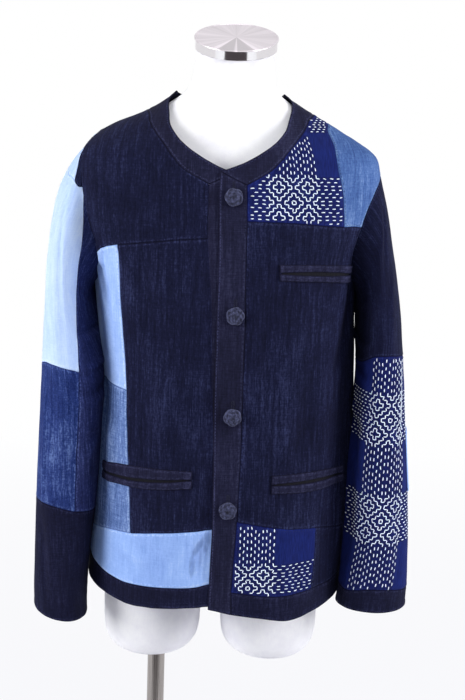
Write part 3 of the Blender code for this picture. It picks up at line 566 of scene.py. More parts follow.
for surface in (on_right, on_left):
    cuff = surface(np.arange(STEPS), CUFF)
    print("a cuff is", np.ptp(cuff[:, 0]).round(), "by", np.ptp(cuff[:, 1]).round(), "mm across")

# %% [markdown]
# ## Seam lines
#
# Every seam is a line that two pieces share. A line is a dense row of (angle, height) pairs, so that
# both pieces follow exactly the same path even when their own points fall at different places.

# %% Lines on the body
DENSE = 121


def line(knots, stretch=2.4):
    """A smooth dense line through knots, evenly spaced. The first number counts stretch times."""
    knots = np.array(knots, float)
    steps = np.hypot(*(np.diff(knots, axis=0) * (stretch, 1)).T)
    places = np.concatenate([[0], np.cumsum(steps)])
    return rows_at(np.column_stack([places, knots]), np.linspace(0, places[-1], DENSE))


def at_x(x, height):
    """(angle, height) of the front point of the body with this X."""
    angle = solve(lambda a: x_of(a, height) - x, -88, 88)
    return (float(angle), height)


def by_x(knots):
    """A line whose knots are given as (x, height) on the front of the body."""
    return line([at_x(x, height) for x, height in knots])


def joined(*lines):
    """Lines that meet end to end, as one."""
    return np.vstack([lines[0]] + [one[1:] for one in lines[1:]])


def mirrored(knots):
    """The same knots on the other side of the body."""
    return [(-angle, height) for angle, height in knots]


def round_back(edge):
    """A line of the right side, with its angles counted on round the back."""
    return edge + np.array([360.0, 0.0])


def side_seam(side, height):
    """(angle, height) on a side seam, which comes forward below the armpit."""
    return (side * (90 - 13 * float(ease((414 - height) / 150))), height)


def side_edge(side, low, high):
    """The side seam between two heights."""
    return np.array([side_seam(side, h) for h in np.linspace(low, high, DENSE)])


def armhole_edge(side, start, end):
    """The armhole between two turns."""
    return armhole(side, np.linspace(start, end, DENSE))


def straight(at, start, end):
    """A line at one angle or step, between two heights or places."""
    return np.column_stack([np.full(DENSE, float(at)), np.linspace(start, end, DENSE)])


def both_sides(knots):
    """Knots from the left shoulder to the centre back, carried on to the right shoulder."""
    return knots + [(360 - angle, height) for angle, height in knots[-2::-1]]


BAND_OUTER = [(25.8, 577), (33, 591), (40, 605), (53, 624), (71, 643), (90, 651)]
NECKLINE = [(11.4, 588), (23.5, 601), (36.6, 617), (52, 638), (67, 655), (90, 676)]

right_hem = line([side_seam(RIGHT, 2), (-66, -3), (-46, -10), (-33, -7), (-21, -3), at_x(2, 3)])
right_band_top = [side_seam(RIGHT, 38), (-68, 30), (-58, 23), (-48, 20), (-37, 22), (-23, 26), (-10, 29)]
right_band_top = line(right_band_top + [at_x(2, 36)])
grey_foot = line([side_seam(RIGHT, 76), (-59.7, 86), (-43, 92)])
right_main_foot = line([(-43, 92), (-26.7, 101), at_x(1, 111)])
grey_top = line([side_seam(RIGHT, 291), (-64, 288), (-48.6, 286)])
strip_top = line([tuple(armhole(RIGHT, 120)), (-62, 471), (-53, 477)])
right_main_top = line([(-53, 477), (-37, 484), (-23, 489), at_x(-21, 492)])
grey_edge = line([(-43, 92), (-44.6, 151), (-46.8, 219), (-48.6, 286)])
strip_edge = line([(-48.6, 286), (-50.2, 339), (-52.2, 405), (-53, 477)])
hem_band_end = by_x([(2, 3), (2, 36)])
hem_patch_end = by_x([(2, 36), (1, 111)])
right_main_end = by_x([(1, 111), (-3, 190), (-9, 290), (-14, 410), (-21, 492)])
yoke_end = by_x([(-21, 492), (-22, 560)])
right_neck_seam = line([at_x(-22, 560)] + mirrored(BAND_OUTER))
right_neckline = line([at_x(8, 576)] + mirrored(NECKLINE))

left_edge = [(-6, -1), (-5, 60), (-4, 111), (-5, 193), (-7, 286), (-7, 415), (-7, 478), (-9, 553), (-8, 576)]
left_edge = by_x(left_edge)
left_hem = line([at_x(25, -8), (28.5, -16), (38, -20), (50, -16), (66.5, -12), side_seam(LEFT, -4)])
square_foot = line([at_x(24, 24), (28.9, 17), (49, 19)])
lower_side_foot = line([(49, 19), (64, 18), side_seam(LEFT, 24)])
square_top = line([at_x(28.5, 123), (30, 113), (50.6, 105)])
lower_side_top = line([(50.6, 105), (62, 98), side_seam(LEFT, 90)])
square_side = line([(49, 19), (50, 62), (50.6, 105)])
left_band_end = by_x([(25, -8), (24, 24)])
square_end = by_x([(24, 24), (28.5, 123)])
left_main_end = by_x([(28.5, 123), (30, 221), (30, 353), (28, 480), (28, 515)])
shoulder_patch_end = by_x([(28, 515), (26, 560)])
shoulder_patch_foot = line([at_x(28, 515), (34, 514), (58, 509)])
chambray_foot = line([(58, 509), (63, 509), tuple(armhole(LEFT, 90))])
chambray_edge = line([(58, 509), (57, 557), (59, 594), (64, 612), (73, 631), (90, 641)])
left_neck_seam = line([at_x(26, 560)] + BAND_OUTER)
left_neckline = line([at_x(-8, 576)] + NECKLINE)

back_hem = line([side_seam(LEFT, -4), (105, 0), (180, 3), (255, 1), (283, 2)])
back_band_top = line([side_seam(LEFT, 24), (110, 30), (180, 32), (250, 34), (283, 38)])
back_neck_seam = line(both_sides([(90, 651), (110, 646), (135, 638), (160, 631), (180, 628)]))
back_neckline = line(both_sides([(90, 676), (110, 673), (135, 667), (160, 662), (180, 661)]))
print("the left front edge runs", (left_edge[-1, 1] - left_edge[0, 1]).round(), "mm up")

# %% [markdown]
# ## How an edge is sewn
#
# What makes patchwork read as sewn cloth is the edge. At a plain seam the cloth rolls down into a narrow
# groove and swells a little beside it, where the turned allowance lies beneath. A hem swells over its
# turned width and ends in a round fold. `edge_out` gives that profile for a distance from the edge, and
# both the cloth and the threads use it, so that the threads lie on the cloth.
#
# - `s` is a seam, `f` a folded free edge, `n` an edge that another piece covers.

# %% Edge profiles
def edge_out(distance, kind):
    """How far the cloth stands out at this distance from an edge, in mm."""
    d = np.asarray(distance, float)
    if kind == "s":
        roll = 0.6 * (1 - np.sqrt(1 - np.clip(1 - d / 2.0, 0, 1) ** 2))
        return 0.32 * np.exp(-(((d - 3.4) / 2.2) ** 2)) - roll
    if kind == "f":
        roll = 0.9 * (1 - np.sqrt(1 - np.clip(1 - d / 1.3, 0, 1) ** 2))
        return 0.45 * ease((11 - d) / 5) - 0.35 * np.exp(-(((d - 7.5) / 1.2) ** 2)) - roll
    return 0.0 * d


def spacing(length, cell):
    """Shares of a length in mm: close together at both ends, then about a cell apart."""
    close = [0, 0.45, 1.0, 1.9]
    if length < 14:
        return np.linspace(0, 1, max(int(length / 1.2), 4) + 1)
    count = max(int(round((length - 2 * close[-1]) / cell)), 2)
    inner = np.linspace(close[-1], length - close[-1], count + 1)
    return np.concatenate([close[:-1], inner, length - np.array(close[-2::-1])]) / length


def lengths(points):
    """Distances along a row of points, from 0."""
    return np.concatenate([[0], np.cumsum(np.linalg.norm(np.diff(points, axis=0), axis=1))])


print("seam groove", edge_out([0, 1, 3.4], "s").round(2), "hem", edge_out([0, 3, 7.5], "f").round(2))

# %% [markdown]
# ## From four lines to a piece of cloth
#
# A piece is laid between its four edge lines, as a sheet is stretched in a bent frame: every inner point
# blends the lines opposite each other. Blender's own grid gives the mesh, its points are moved to the
# surface, and Solidify then adds the wall inwards.
#
# Each piece keeps three things for its material: a flat UV map in metres, the distance to its nearest
# edge, and how high the creases lift it.

# %% The cloth builder
PIECES = {}  # by name, each piece and its slot


def filled(bottom, top, left, right, us, vs):
    """Pairs between four edges, each given as a function of its share."""
    u, v = us[None, :, None], vs[:, None, None]
    b, t, l, r = bottom(us)[None], top(us)[None], left(vs)[:, None], right(vs)[:, None]
    low = (1 - u) * b[:, :1] + u * b[:, -1:]
    high = (1 - u) * t[:, :1] + u * t[:, -1:]
    return (1 - u) * l + u * r + (1 - v) * b + v * t - (1 - v) * low - v * high


def paced(surface, edge):
    """A line as a function of its share, by its real length on the surface."""
    run = lengths(surface(edge[:, 0], edge[:, 1]))
    share = run / run[-1]
    return lambda t: np.column_stack([np.interp(t, share, edge[:, 0]), np.interp(t, share, edge[:, 1])])


def lay(surface, bottom, top, left, right, cell, middle=None):
    """A grid of pairs over a piece. Middle is a line across it, from the left edge to the right."""

    def shares(one, other):
        """The spacing over the mean length of two opposite edges."""
        return spacing(sum(lengths(surface(*edge.T))[-1] for edge in (one, other)) / 2, cell)

    us = shares(bottom, top)
    if middle is None:
        edges = (paced(surface, edge) for edge in (bottom, top, left, right))
        return filled(*edges, us, shares(left, right))
    i, j = (np.argmin(np.hypot(*(edge - end).T)) for edge, end in ((left, middle[0]), (right, middle[-1])))
    low = bottom, middle, left[: i + 1], right[: j + 1]
    high = middle, top, left[i:], right[j:]
    # close rows belong at the edges only, so each half leaves them out beside the middle line
    vs = shares(*low[2:]), shares(*high[2:])
    vs = np.delete(vs[0], (-3, -2)), np.delete(vs[1], (1, 2))
    grids = [filled(*(paced(surface, e) for e in half), us, v) for half, v in zip((low, high), vs)]
    return np.vstack([grids[0], grids[1][1:]])


def summed(points, axis):
    """Distances along the rows or columns of a grid of points, from 0."""
    steps = np.linalg.norm(np.diff(points, axis=axis), axis=2)
    return np.insert(np.cumsum(steps, axis=axis), 0, 0.0, axis=axis)


def distances(points):
    """For a grid of points, the distances to its bottom, top, left and right edges."""
    up, right = summed(points, 0), summed(points, 1)
    return up, up[-1] - up, right, right[:, -1:] - right


def looked_up(table, rows, columns, row, column):
    """Values between the entries of a table whose rows and columns are evenly spaced."""
    i = np.clip((row - rows[0]) / (rows[1] - rows[0]), 0, len(rows) - 1.001)
    j = np.clip((column - columns[0]) / (columns[1] - columns[0]), 0, len(columns) - 1.001)
    m, n = i.astype(int), j.astype(int)
    a, b = i - m, j - n
    low = (1 - b) * table[m, n] + b * table[m, n + 1]
    return (1 - a) * low + a * ((1 - b) * table[m + 1, n] + b * table[m + 1, n + 1])


LEVELS = np.arange(-45, 706, 5.0)
GRAIN_ARCS = {}
for centre in (0, 180):
    turns = centre + np.linspace(-180, 180, 181)
    a, h = np.meshgrid(turns, LEVELS)
    level_ring = ring_radius(a, h)[..., None] * np.stack([np.sin(np.radians(a)), np.cos(np.radians(a))], -1)
    arc = summed(level_ring, 1)
    GRAIN_ARCS[centre] = turns, arc - arc[:, 90:91]
for side in (RIGHT, LEFT):
    steps, places = np.arange(12, 44.01, 0.5), np.arange(0, CUFF + 0.01, 0.1)
    arc = summed(on_sleeve(side, *np.meshgrid(steps, places)), 1)
    GRAIN_ARCS[side] = steps, places, arc - arc[:, 24:25]


def body_grain(angle, height):
    """Straight grain on the body: how far round it from the centre line, and how high, in mm."""
    turns, arcs = GRAIN_ARCS[0 if np.mean(angle) < 90 else 180]
    return looked_up(arcs, LEVELS, turns, height, angle), height * 1.0


def sleeve_grain(side, step, place):
    """Straight grain on a sleeve: how far round it from its outer line, and how high, in mm."""
    steps, places, arcs = GRAIN_ARCS[side]
    return looked_up(arcs, places, steps, place, step), on_sleeve(side, step, place)[..., 2]


LAP = 0.25  # how far a seam's edge reaches under its neighbour
FAR = 99  # added to the distance from an edge that another piece covers
CUTS = {}  # by name, the size of each cut


def cut_size(points):
    """The width and length of a cut in metres, and the area that shows."""
    across, upwards = summed(points, 1)[:, -1], summed(points, 0)[-1]
    a, b = np.diff(points, axis=1), np.diff(points, axis=0)
    corners = np.cross(a[:-1], b[:, :-1]), np.cross(a[1:], b[:, 1:])
    area = float(sum(np.linalg.norm(corner, axis=2).sum() for corner in corners) / 2)
    width, length = float(across.max()), float(upwards.max())
    return width, length, min(area, width * length)


def cloth(name, surface, pairs, slot, kinds="ssss", out=0.0, wall=1.3, pucker=1.0, chart=None, grain=None):
    """A cloth piece over a grid of pairs. Kinds are of its bottom, top, left and right edges."""
    a_b = pairs[..., 0], pairs[..., 1]
    gaps = distances(surface(*a_b))
    rise = sum(edge_out(gap, kind) for gap, kind in zip(gaps, kinds))
    down, _, along, _ = gaps
    for gap, kind, run in zip(gaps, kinds, (along, along, down, down)):
        if kind == "s":
            gather = ripple(run / 7, gap / 16, len(name)) * np.exp(-gap / 6.5)
            rise = rise + pucker * 0.34 * gather * np.clip(gap / 1.5, 0, 1)
        elif kind == "f":
            rise = rise + pucker * 0.3 * ripple(run / 11, gap / 9, len(name)) * np.exp(-gap / 10)
    points = surface(*a_b, out + rise)
    # a seam's outermost row laps a little into the seam
    turned = points.swapaxes(0, 1)
    rims = (points, 0, 1), (points, -1, -2), (turned, 0, 1), (turned, -1, -2)
    for (grid, edge, inner), kind in zip(rims, kinds):
        if kind == "s":
            grid[edge] += unit(grid[edge] - grid[inner]) * LAP
    nearest = np.minimum.reduce([g if k != "n" else g + FAR for g, k in zip(gaps, kinds)])
    if surface is on_body:
        rise = rise + crease_depth(*a_b)
    piece = grid_piece(name, points, nearest, rise, wall, chart(*a_b) if chart else None, grain)
    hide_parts(name)
    PIECES[name] = piece, slot
    CUTS[name] = cut_size(surface(*a_b) * MM)


def grid_piece(name, points, nearest=None, swell=None, wall=1.3, chart=None, grain=None):
    """Blender's grid moved to a grid of points in mm, with its wall, maps and attributes."""
    rows, columns = points.shape[0] - 1, points.shape[1] - 1
    picked(None)
    bpy.ops.mesh.primitive_grid_add(x_subdivisions=columns, y_subdivisions=rows, size=2)
    piece = bpy.context.active_object
    piece.name = name + "_cloth"
    mesh = piece.data
    mesh.vertices.foreach_set("co", (points * MM).astype(np.float32).ravel())
    if grain is None:
        up, _, along, _ = distances(points)
        grain = along - along[:, columns // 2 : columns // 2 + 1], up
    loops = np.empty(len(mesh.loops), np.int32)
    mesh.loops.foreach_get("vertex_index", loops)
    mesh.uv_layers[0].name = "cloth"
    if chart:
        mesh.uv_layers.new(name="chart")
    for layer, pair, scale in zip(mesh.uv_layers, (grain, chart), (MM, 1)):
        flat = np.stack(pair, -1).reshape(-1, 2)[loops] * scale
        layer.uv.foreach_set("vector", flat.astype(np.float32).ravel())
    for label, values in (("edge", nearest), ("fold", swell)):
        if values is not None:
            point_values(mesh, label, values.ravel())
    solid = piece.modifiers.new("wall", "SOLIDIFY")
    solid.thickness = wall * MM
    solid.offset = -1
    bpy.ops.object.modifier_apply(modifier="wall")
    bpy.ops.object.shade_smooth_by_angle(angle=math.radians(50))
    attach(piece, "root")
    return piece


def body_piece(name, slot, bottom, top, left, right, kinds="ssss", middle=None, cell=3.0, out=0.0, **more):
    """A piece of the jacket's body, which stands for the solid of the same name."""
    pairs = lay(on_body, bottom, top, left, right, cell, middle)
    a, h = pairs[..., 0], pairs[..., 1]
    if callable(out):
        out = out(x_of(a, h))
    cloth(name, on_body, pairs, slot, kinds, out, grain=body_grain(a, h), **more)


def sleeve_piece(name, slot, upper, lower, first, last, kinds="ssss", cell=3.0, **more):
    """A piece of the sleeve its name says, from its upper edge down and by rising step."""
    side, surface = (RIGHT, on_right) if name.startswith("right") else (LEFT, on_left)
    pairs = lay(surface, upper, lower, first, last, cell)
    if side == RIGHT:
        pairs, kinds = pairs[:, ::-1], kinds[:2] + kinds[3] + kinds[2]
    grain = sleeve_grain(side, pairs[..., 0], pairs[..., 1])
    cloth(name, surface, pairs, slot, kinds, grain=grain, **more)


print("the builder is ready")

# %% [markdown]
# ## A chart for the stitched patches
#
# Sashiko is counted work: every stitch lies on a square grid drawn on the cloth. So each stitched patch
# gets a chart, which turns grid units into places on the garment and back. Rows stay level and columns
# stay upright, as the marked lines of a patch that was sewn on straight.

# %% Charts
SAMPLES = 301  # points along the middle row and column of a chart
UNIT = 4.85  # a stitch's unit in mm


def body_chart(angle, height, unit_y=UNIT, lean=0.0):
    """Functions from chart units to (angle, height) on the front, and back. Columns may lean inwards."""
    rounds = np.linspace(angle - 34, min(angle + 34, 88), SAMPLES)
    ring = on_body(rounds, np.full(SAMPLES, float(height)))
    middle = np.interp(angle, rounds, lengths(ring))
    us, xs = (lengths(ring) - middle) / UNIT, ring[:, 0]
    x = float(np.interp(0, us, xs))
    heights = np.linspace(height - 60, min(height + 130, 662), SAMPLES)
    turns = solve(lambda a: x_of(a, heights) - x, -88, 89.5, heights.shape)
    column = on_body(turns, heights)
    vs = (lengths(column) - np.interp(height, heights, lengths(column))) / unit_y

    def narrowed(h):
        """How much nearer the centre line a column lies at this height."""
        return 1 - lean * (1 - ring_radius(angle, h) / ring_radius(angle, height))

    def place(u, v):
        """Units to (angle, height)."""
        h = np.interp(v, vs, heights)
        at = np.interp(u, us, xs) * narrowed(h)
        a = solve(lambda t: x_of(t, h) - at, -88, 89.5, np.shape(h))
        return a, h

    def chart(a, h):
        """(angle, height) to units."""
        return np.interp(x_of(a, h) / narrowed(h), xs, us), np.interp(h, heights, vs)

    return place, chart


def sleeve_chart(side, step, place_on, low_step, low_place, unit_y):
    """The same on a sleeve. The middle column runs through both given places."""
    top = on_sleeve(side, step, place_on)[2]
    low = on_sleeve(side, low_step, low_place)[2]
    steps, levels = np.linspace(19.5, 37.5, 241), np.linspace(top + 160, low - 150, 121)
    places, reach = [], []
    for level in levels:
        places.append(solve(lambda p: level - on_sleeve(side, steps, p)[..., 2], 2.5, CUFF, steps.shape))
        run = lengths(on_sleeve(side, steps, places[-1]))
        heart = step + (low_step - step) * (top - level) / (top - low)
        reach.append((run - np.interp(heart, steps, run)) / UNIT)
    places, reach = np.array(places), np.array(reach)

    def place(u, v):
        """Units to (step, place)."""
        found = []
        rows = np.interp(-np.asarray(v) * unit_y, top - levels, np.arange(len(levels)))
        for at, row in zip(np.ravel(u), np.ravel(rows)):
            i = min(int(row), len(levels) - 2)
            share = row - i
            s = [np.interp(at, reach[k], steps) for k in (i, i + 1)]
            p = [np.interp(s[k], steps, places[i + k]) for k in (0, 1)]
            found.append((s[0] + share * (s[1] - s[0]), p[0] + share * (p[1] - p[0])))
        found = np.array(found)
        return found[:, 0].reshape(np.shape(u)), found[:, 1].reshape(np.shape(u))

    def chart(s, p):
        """(step, place) to units."""
        level = on_sleeve(side, s, p)[..., 2]
        return looked_up(reach, levels, steps, level, s), (level - top) / unit_y

    return place, chart


shoulder_place, shoulder_chart = body_chart(35.9, 539.8, lean=0.45)
hem_place, hem_chart = body_chart(17.2, 30.2, 4.7)
sleeve_place, sleeve_units = sleeve_chart(LEFT, 28.9, 5.53, 30.0, 7.0, 4.93)
check = shoulder_chart(*shoulder_place(np.array([5.0]), np.array([3.0])))
print("a place and back:", [round(float(c[0]), 2) for c in check])

# %% [markdown]
# ## The right front
#
# The wearer's right front runs under the left one. It is pieced from a dark main panel, a pale strip at
# the side, a grey-blue patch below it, a pale patch along the hem and a dark hem band.

# %% Right front
def tuck(x):
    """The right front sinks under the left front's edge."""
    return -2.3 * ease((x + 22) / 11)


body_piece(
    "right_front_hem_band", "charcoal", right_hem, right_band_top, side_edge(RIGHT, 2, 38), hem_band_end,
    kinds="fssn", out=tuck,
)
body_piece(
    "right_front_hem_patch", "light_blue", right_band_top, joined(grey_foot, right_main_foot),
    side_edge(RIGHT, 38, 76), hem_patch_end, kinds="sssn", out=tuck, cell=2.6, pucker=1.8,
)
body_piece(
    "right_front_grey_patch", "grey_blue", grey_foot, grey_top, side_edge(RIGHT, 76, 291), grey_edge,
    pucker=1.3,
)
strip_middle = line([side_seam(RIGHT, 414), tuple(strip_edge[int(DENSE * 4 / 7)])])
body_piece(
    "right_front_light_strip", "light_blue", grey_top, strip_top,
    joined(side_edge(RIGHT, 291, 414), armhole_edge(RIGHT, 180, 120)), strip_edge, middle=strip_middle,
    pucker=1.4,
)
body_piece(
    "right_front_main", "indigo", right_main_foot, right_main_top, joined(grey_edge, strip_edge),
    right_main_end, kinds="sssn", out=tuck,
)
body_piece(
    "right_front_yoke", "indigo", joined(strip_top, right_main_top), straight(-90, TIP[RIGHT], 651),
    armhole_edge(RIGHT, 120, 0), joined(yoke_end, right_neck_seam), out=tuck,
)
under_edge = joined(hem_band_end, hem_patch_end, right_main_end, yoke_end)
body_piece(
    "right_front_band", "charcoal", by_x([(2, 2), (24, -6)]), by_x([(-22, 560), (8, 576)]), under_edge,
    by_x([(24, -6), (24, 480), (8, 576)]), kinds="fsnn", out=tuck,
)
body_piece(
    "right_neck_band", "charcoal", right_neck_seam[::-1], right_neckline[::-1], straight(-90, 651, 676),
    by_x([(-22, 560), (8, 576)]), kinds="sfss", out=tuck,
)
print("right front pieces:", len(PIECES))

# %% [markdown]
# ## The left front
#
# The left front lies on top and carries the button band, a square of stitched patchwork at the shoulder,
# another at the hem, and a chambray piece beside the armhole.

# %% Left front
STITCHED_OUT = 0.3  # stitched patches are thicker and stand out a little
hem_square = square_foot, square_top, square_end, square_side
shoulder_end = joined(shoulder_patch_end, left_neck_seam)
shoulder_patch = shoulder_patch_foot, straight(90, 651, 641), shoulder_end, chambray_edge
body_piece(
    "left_front_hem_band", "charcoal", left_hem, joined(square_foot, lower_side_foot), left_band_end,
    side_edge(LEFT, -4, 24), kinds="fsss",
)
body_piece(
    "left_front_hem_sashiko", "sashiko", *hem_square, out=STITCHED_OUT, cell=2.6, pucker=1.3,
    chart=hem_chart,
)
body_piece(
    "left_front_lower_side", "indigo", lower_side_foot, lower_side_top, square_side, side_edge(LEFT, 24, 90),
)
body_piece(
    "left_front_main", "indigo", joined(square_top, lower_side_top),
    joined(shoulder_patch_foot, chambray_foot), left_main_end,
    joined(side_edge(LEFT, 90, 414), armhole_edge(LEFT, 180, 90)),
    middle=line([tuple(left_main_end[int(DENSE * 7 / 13)]), (50, 392), side_seam(LEFT, 414)]),
)
body_piece(
    "left_front_shoulder_sashiko", "sashiko", *shoulder_patch, out=STITCHED_OUT, cell=2.8, pucker=1.2,
    chart=shoulder_chart,
)
body_piece(
    "left_front_chambray", "chambray", chambray_foot, straight(90, 641, TIP[LEFT]), chambray_edge,
    armhole_edge(LEFT, 90, 0),
)
body_piece(
    "left_front_band", "charcoal", by_x([(-6, -1), (25, -8)]), by_x([(-8, 576), (26, 560)]), left_edge,
    joined(left_band_end, square_end, left_main_end, shoulder_patch_end), kinds="fsfs", wall=1.5,
)
body_piece(
    "left_neck_band", "charcoal", left_neck_seam, left_neckline, by_x([(26, 560), (-8, 576)]),
    straight(90, 651, 676), kinds="sfss",
)
print("pieces so far:", len(PIECES))

# %% [markdown]
# ## The back
#
# The back is one broad dark panel between the side seams, with its own neck band and hem band. It was
# worked as carefully as the front.

# %% Back
body_piece(
    "back_hem_band", "charcoal", back_hem, back_band_top, side_edge(LEFT, -4, 24),
    round_back(side_edge(RIGHT, 2, 38)), kinds="fsss",
)
body_piece(
    "back_panel", "indigo", back_band_top,
    joined(straight(90, TIP[LEFT], 651), back_neck_seam, straight(270, 651, TIP[RIGHT])),
    joined(side_edge(LEFT, 24, 414), armhole_edge(LEFT, 180, 360)),
    round_back(joined(side_edge(RIGHT, 38, 414), armhole_edge(RIGHT, 180, 360))),
    middle=line([side_seam(LEFT, 414), (180, 400), (270, 414)]), cell=3.6,
)
body_piece(
    "back_neck_band", "charcoal", back_neck_seam, back_neckline, straight(90, 651, 676),
    straight(270, 651, 676), kinds="sfss",
)
print("pieces so far:", len(PIECES))

# %% [markdown]
# ## The sleeves
#
# The right sleeve is the pale one: a light crown and panel, a denim patch below it and a dark cuff, with
# a dark inner piece. The left is dark above the elbow and stitched below it, with a small pale patch laid
# on its outer side.

# %% Right sleeve
CUFF_SEAM = [(12, 6.9), (19, 6.86), (25, 6.8), (29, 6.75), (32, 6.81), (36, 6.9)]
DENIM_SEAM = [(12, 4.95), (19, 4.9), (24, 4.97), (27, 4.8), (29.3, 4.63), (32, 4.45), (36, 4.4)]
ELBOW_SEAM = [(12, 3.6), (18, 4.4), (24, 4.86), (27, 4.65), (29.5, 4.28), (32, 3.86), (36, 3.6)]
WRIST_SEAM = [(12, 8.35), (21, 8.5), (26, 8.4), (28.6, 8.28), (31, 8.26), (33.6, 8.4), (36, 8.35)]


def round_sleeve(first, last, seam):
    """A line round a sleeve along a seam, which is one place or a table of (step, place)."""
    steps = np.linspace(first, last, DENSE)
    if not isinstance(seam, list):
        return np.column_stack([steps, np.full(DENSE, float(seam))])
    return np.column_stack([steps, rows_at(seam, (steps - 12) % STEPS + 12)[:, 0]])


TO_PLACES = 0.35  # what one step counts in places, when a line on a sleeve is spaced
crown_front = line([(26, 1.1), (26.5, 0.96), (27, 0.8), (27.5, 0.63)], TO_PLACES)
crown_seam = joined(round_sleeve(19, 26, 1.1), crown_front)
corner_out = line([(25.2, 0), (26.2, 0.12), (27, 0.35), (27.5, 0.63)], TO_PLACES)
corner_low = line([(27.5, 0.63), (27.9, 0.5)], TO_PLACES)
corner_side = line([(27.9, 0.5), (28.3, 0.28), (28.6, 0)], TO_PLACES)
light_foot = round_sleeve(19, 32, DENIM_SEAM)
denim_foot = round_sleeve(19, 32, CUFF_SEAM)
light_front = line([(29, 0), (31.4, 1.0), (32, 2.4), tuple(light_foot[-1])], TO_PLACES)
light_back = straight(19, 1.1, light_foot[0, 1])
denim_front = straight(32, light_foot[-1, 1], denim_foot[-1, 1])
denim_back = straight(19, light_foot[0, 1], denim_foot[0, 1])

sleeve_piece(
    "right_sleeve_crown", "light_blue", round_sleeve(19, 25.2, 0), crown_seam, straight(19, 0, 1.1),
    corner_out,
)
sleeve_piece(
    "right_sleeve_corner", "indigo", round_sleeve(25.2, 28.6, 0), corner_low, corner_out,
    corner_side[::-1],
)
sleeve_piece(
    "right_sleeve_light_panel", "light_blue",
    joined(crown_seam, corner_low, corner_side, round_sleeve(28.6, 29, 0)), light_foot, light_back,
    light_front, pucker=1.3,
)
sleeve_piece(
    "right_sleeve_denim_patch", "mid_denim", light_foot, denim_foot, denim_back, denim_front,
    pucker=1.3,
)
turn_back = np.array([24.0, 0.0])
sleeve_piece(
    "right_sleeve_inner", "indigo", round_sleeve(29, 43, 0), round_sleeve(32, 43, CUFF_SEAM),
    joined(light_front, denim_front), joined(straight(19, 0, 1.1), light_back, denim_back) + turn_back,
)
sleeve_piece(
    "right_sleeve_cuff", "charcoal", round_sleeve(12, 36, CUFF_SEAM), round_sleeve(12, 36, CUFF),
    straight(12, 6.9, CUFF), straight(36, 6.9, CUFF), kinds="sfss",
)

# %% Left sleeve
PATCH_OUT = 1.9  # the pale patch lies on the cloth below it
elbow_back, wrist_back = (float(rows_at(seam, 21)[0]) for seam in (ELBOW_SEAM, WRIST_SEAM))
sashiko_round = round_sleeve(21, 36, ELBOW_SEAM), round_sleeve(21, 36, WRIST_SEAM)
sashiko_sides = straight(21, elbow_back, wrist_back), straight(36, 3.6, 8.35)
sleeve_piece(
    "left_sleeve_upper", "indigo", round_sleeve(12, 36, 0), round_sleeve(12, 36, ELBOW_SEAM),
    straight(12, 0, 3.6), straight(36, 0, 3.6),
)
sleeve_piece(
    "left_sleeve_sashiko", "sashiko", *sashiko_round, *sashiko_sides, pucker=1.2, chart=sleeve_units,
)
sleeve_piece(
    "left_sleeve_back", "indigo", round_sleeve(12, 21, ELBOW_SEAM), round_sleeve(12, 21, WRIST_SEAM),
    straight(12, 3.6, 8.35), sashiko_sides[0],
)
sleeve_piece(
    "left_sleeve_cuff", "charcoal", round_sleeve(12, 36, WRIST_SEAM), round_sleeve(12, 36, CUFF),
    straight(12, 8.35, CUFF), straight(36, 8.35, CUFF), kinds="sfss",
)
sleeve_piece(
    "left_sleeve_light_patch", "light_blue", round_sleeve(22, 25.5, 5.95), round_sleeve(22, 25.5, 6.75),
    straight(22, 5.95, 6.75), straight(25.5, 5.95, 6.75), out=PATCH_OUT, cell=2.4,
)
print("cloth pieces:", len(PIECES))
print("triangles so far:", sum(len(p.data.polygons) for p, _ in PIECES.values()) * 2)

# %% [markdown]
# ## One stitch
#
# A stitch is a grain of thick cotton thread, rounded on top, that dives into the cloth at both ends. It
# is modelled once, as a small sphere pulled into a grain, and then laid wherever the chart wants one. It
# has few faces because there are well over a thousand of them.

# %% A single stitch
picked(None)
bpy.ops.mesh.primitive_uv_sphere_add(segments=6, ring_count=6, radius=1)
grain = bpy.context.active_object
bpy.ops.object.mode_set(mode="EDIT")
bpy.ops.mesh.select_all(action="SELECT")
bpy.ops.transform.rotate(value=math.pi / 2, orient_axis="Y", center_override=(0, 0, 0))
bpy.ops.object.mode_set(mode="OBJECT")
GRAIN = np.array([v.co[:] for v in grain.data.vertices])
GRAIN_FACES = [tuple(face.vertices) for face in grain.data.polygons]
bpy.data.objects.remove(grain)
long_way = GRAIN[:, 0]
full = (1 - np.abs(long_way) ** 3.2).clip(0) ** 0.42
round_part = np.sqrt((1 - long_way**2).clip(1e-6))
GRAIN[:, 1:] *= (full / round_part)[:, None]
print("a stitch has", len(GRAIN_FACES), "faces")


def stitched(name, vertices):
    """Many stitches as one mesh. Vertices has one row of points in mm for each stitch."""
    faces = [tuple(v + k * len(GRAIN) for v in face) for k in range(len(vertices)) for face in GRAIN_FACES]
    threads = mesh_object(name, vertices.reshape(-1, 3), faces)
    outwards(threads)
    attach(threads, "root")
    return threads


# %% [markdown]
# ## The persimmon-flower pattern
#
# The flowers are not drawn. They come out of straight rows of running stitch, half of them upright and
# half level. A row starts either on the first unit or on the second, and a short list of those starts
# makes the crosses and rings where the two sets of rows meet. Where only one set runs, plain dashes are
# left, and where neither runs, the bare cloth shows. The block is 14 rows wide and repeats every 28.

# %% The stitch rule
STARTS = {0: 0, 1: 0, 2: 1, 3: 0, 4: 1, 5: 1, 6: 0, 7: 1}
STARTS.update({1 - k: start for k, start in list(STARTS.items()) if k > 1})
REPEAT = 28
# half a stitch's length and width, and how far its middle stays from a seam, in units
HALF_LONG, HALF_WIDE, CLEAR = 0.485, 0.145, 0.62


def row_start(k):
    """Where row k starts, or None where there is no row."""
    return STARTS.get((k + REPEAT // 4 - 1) % REPEAT - REPEAT // 4 + 1)


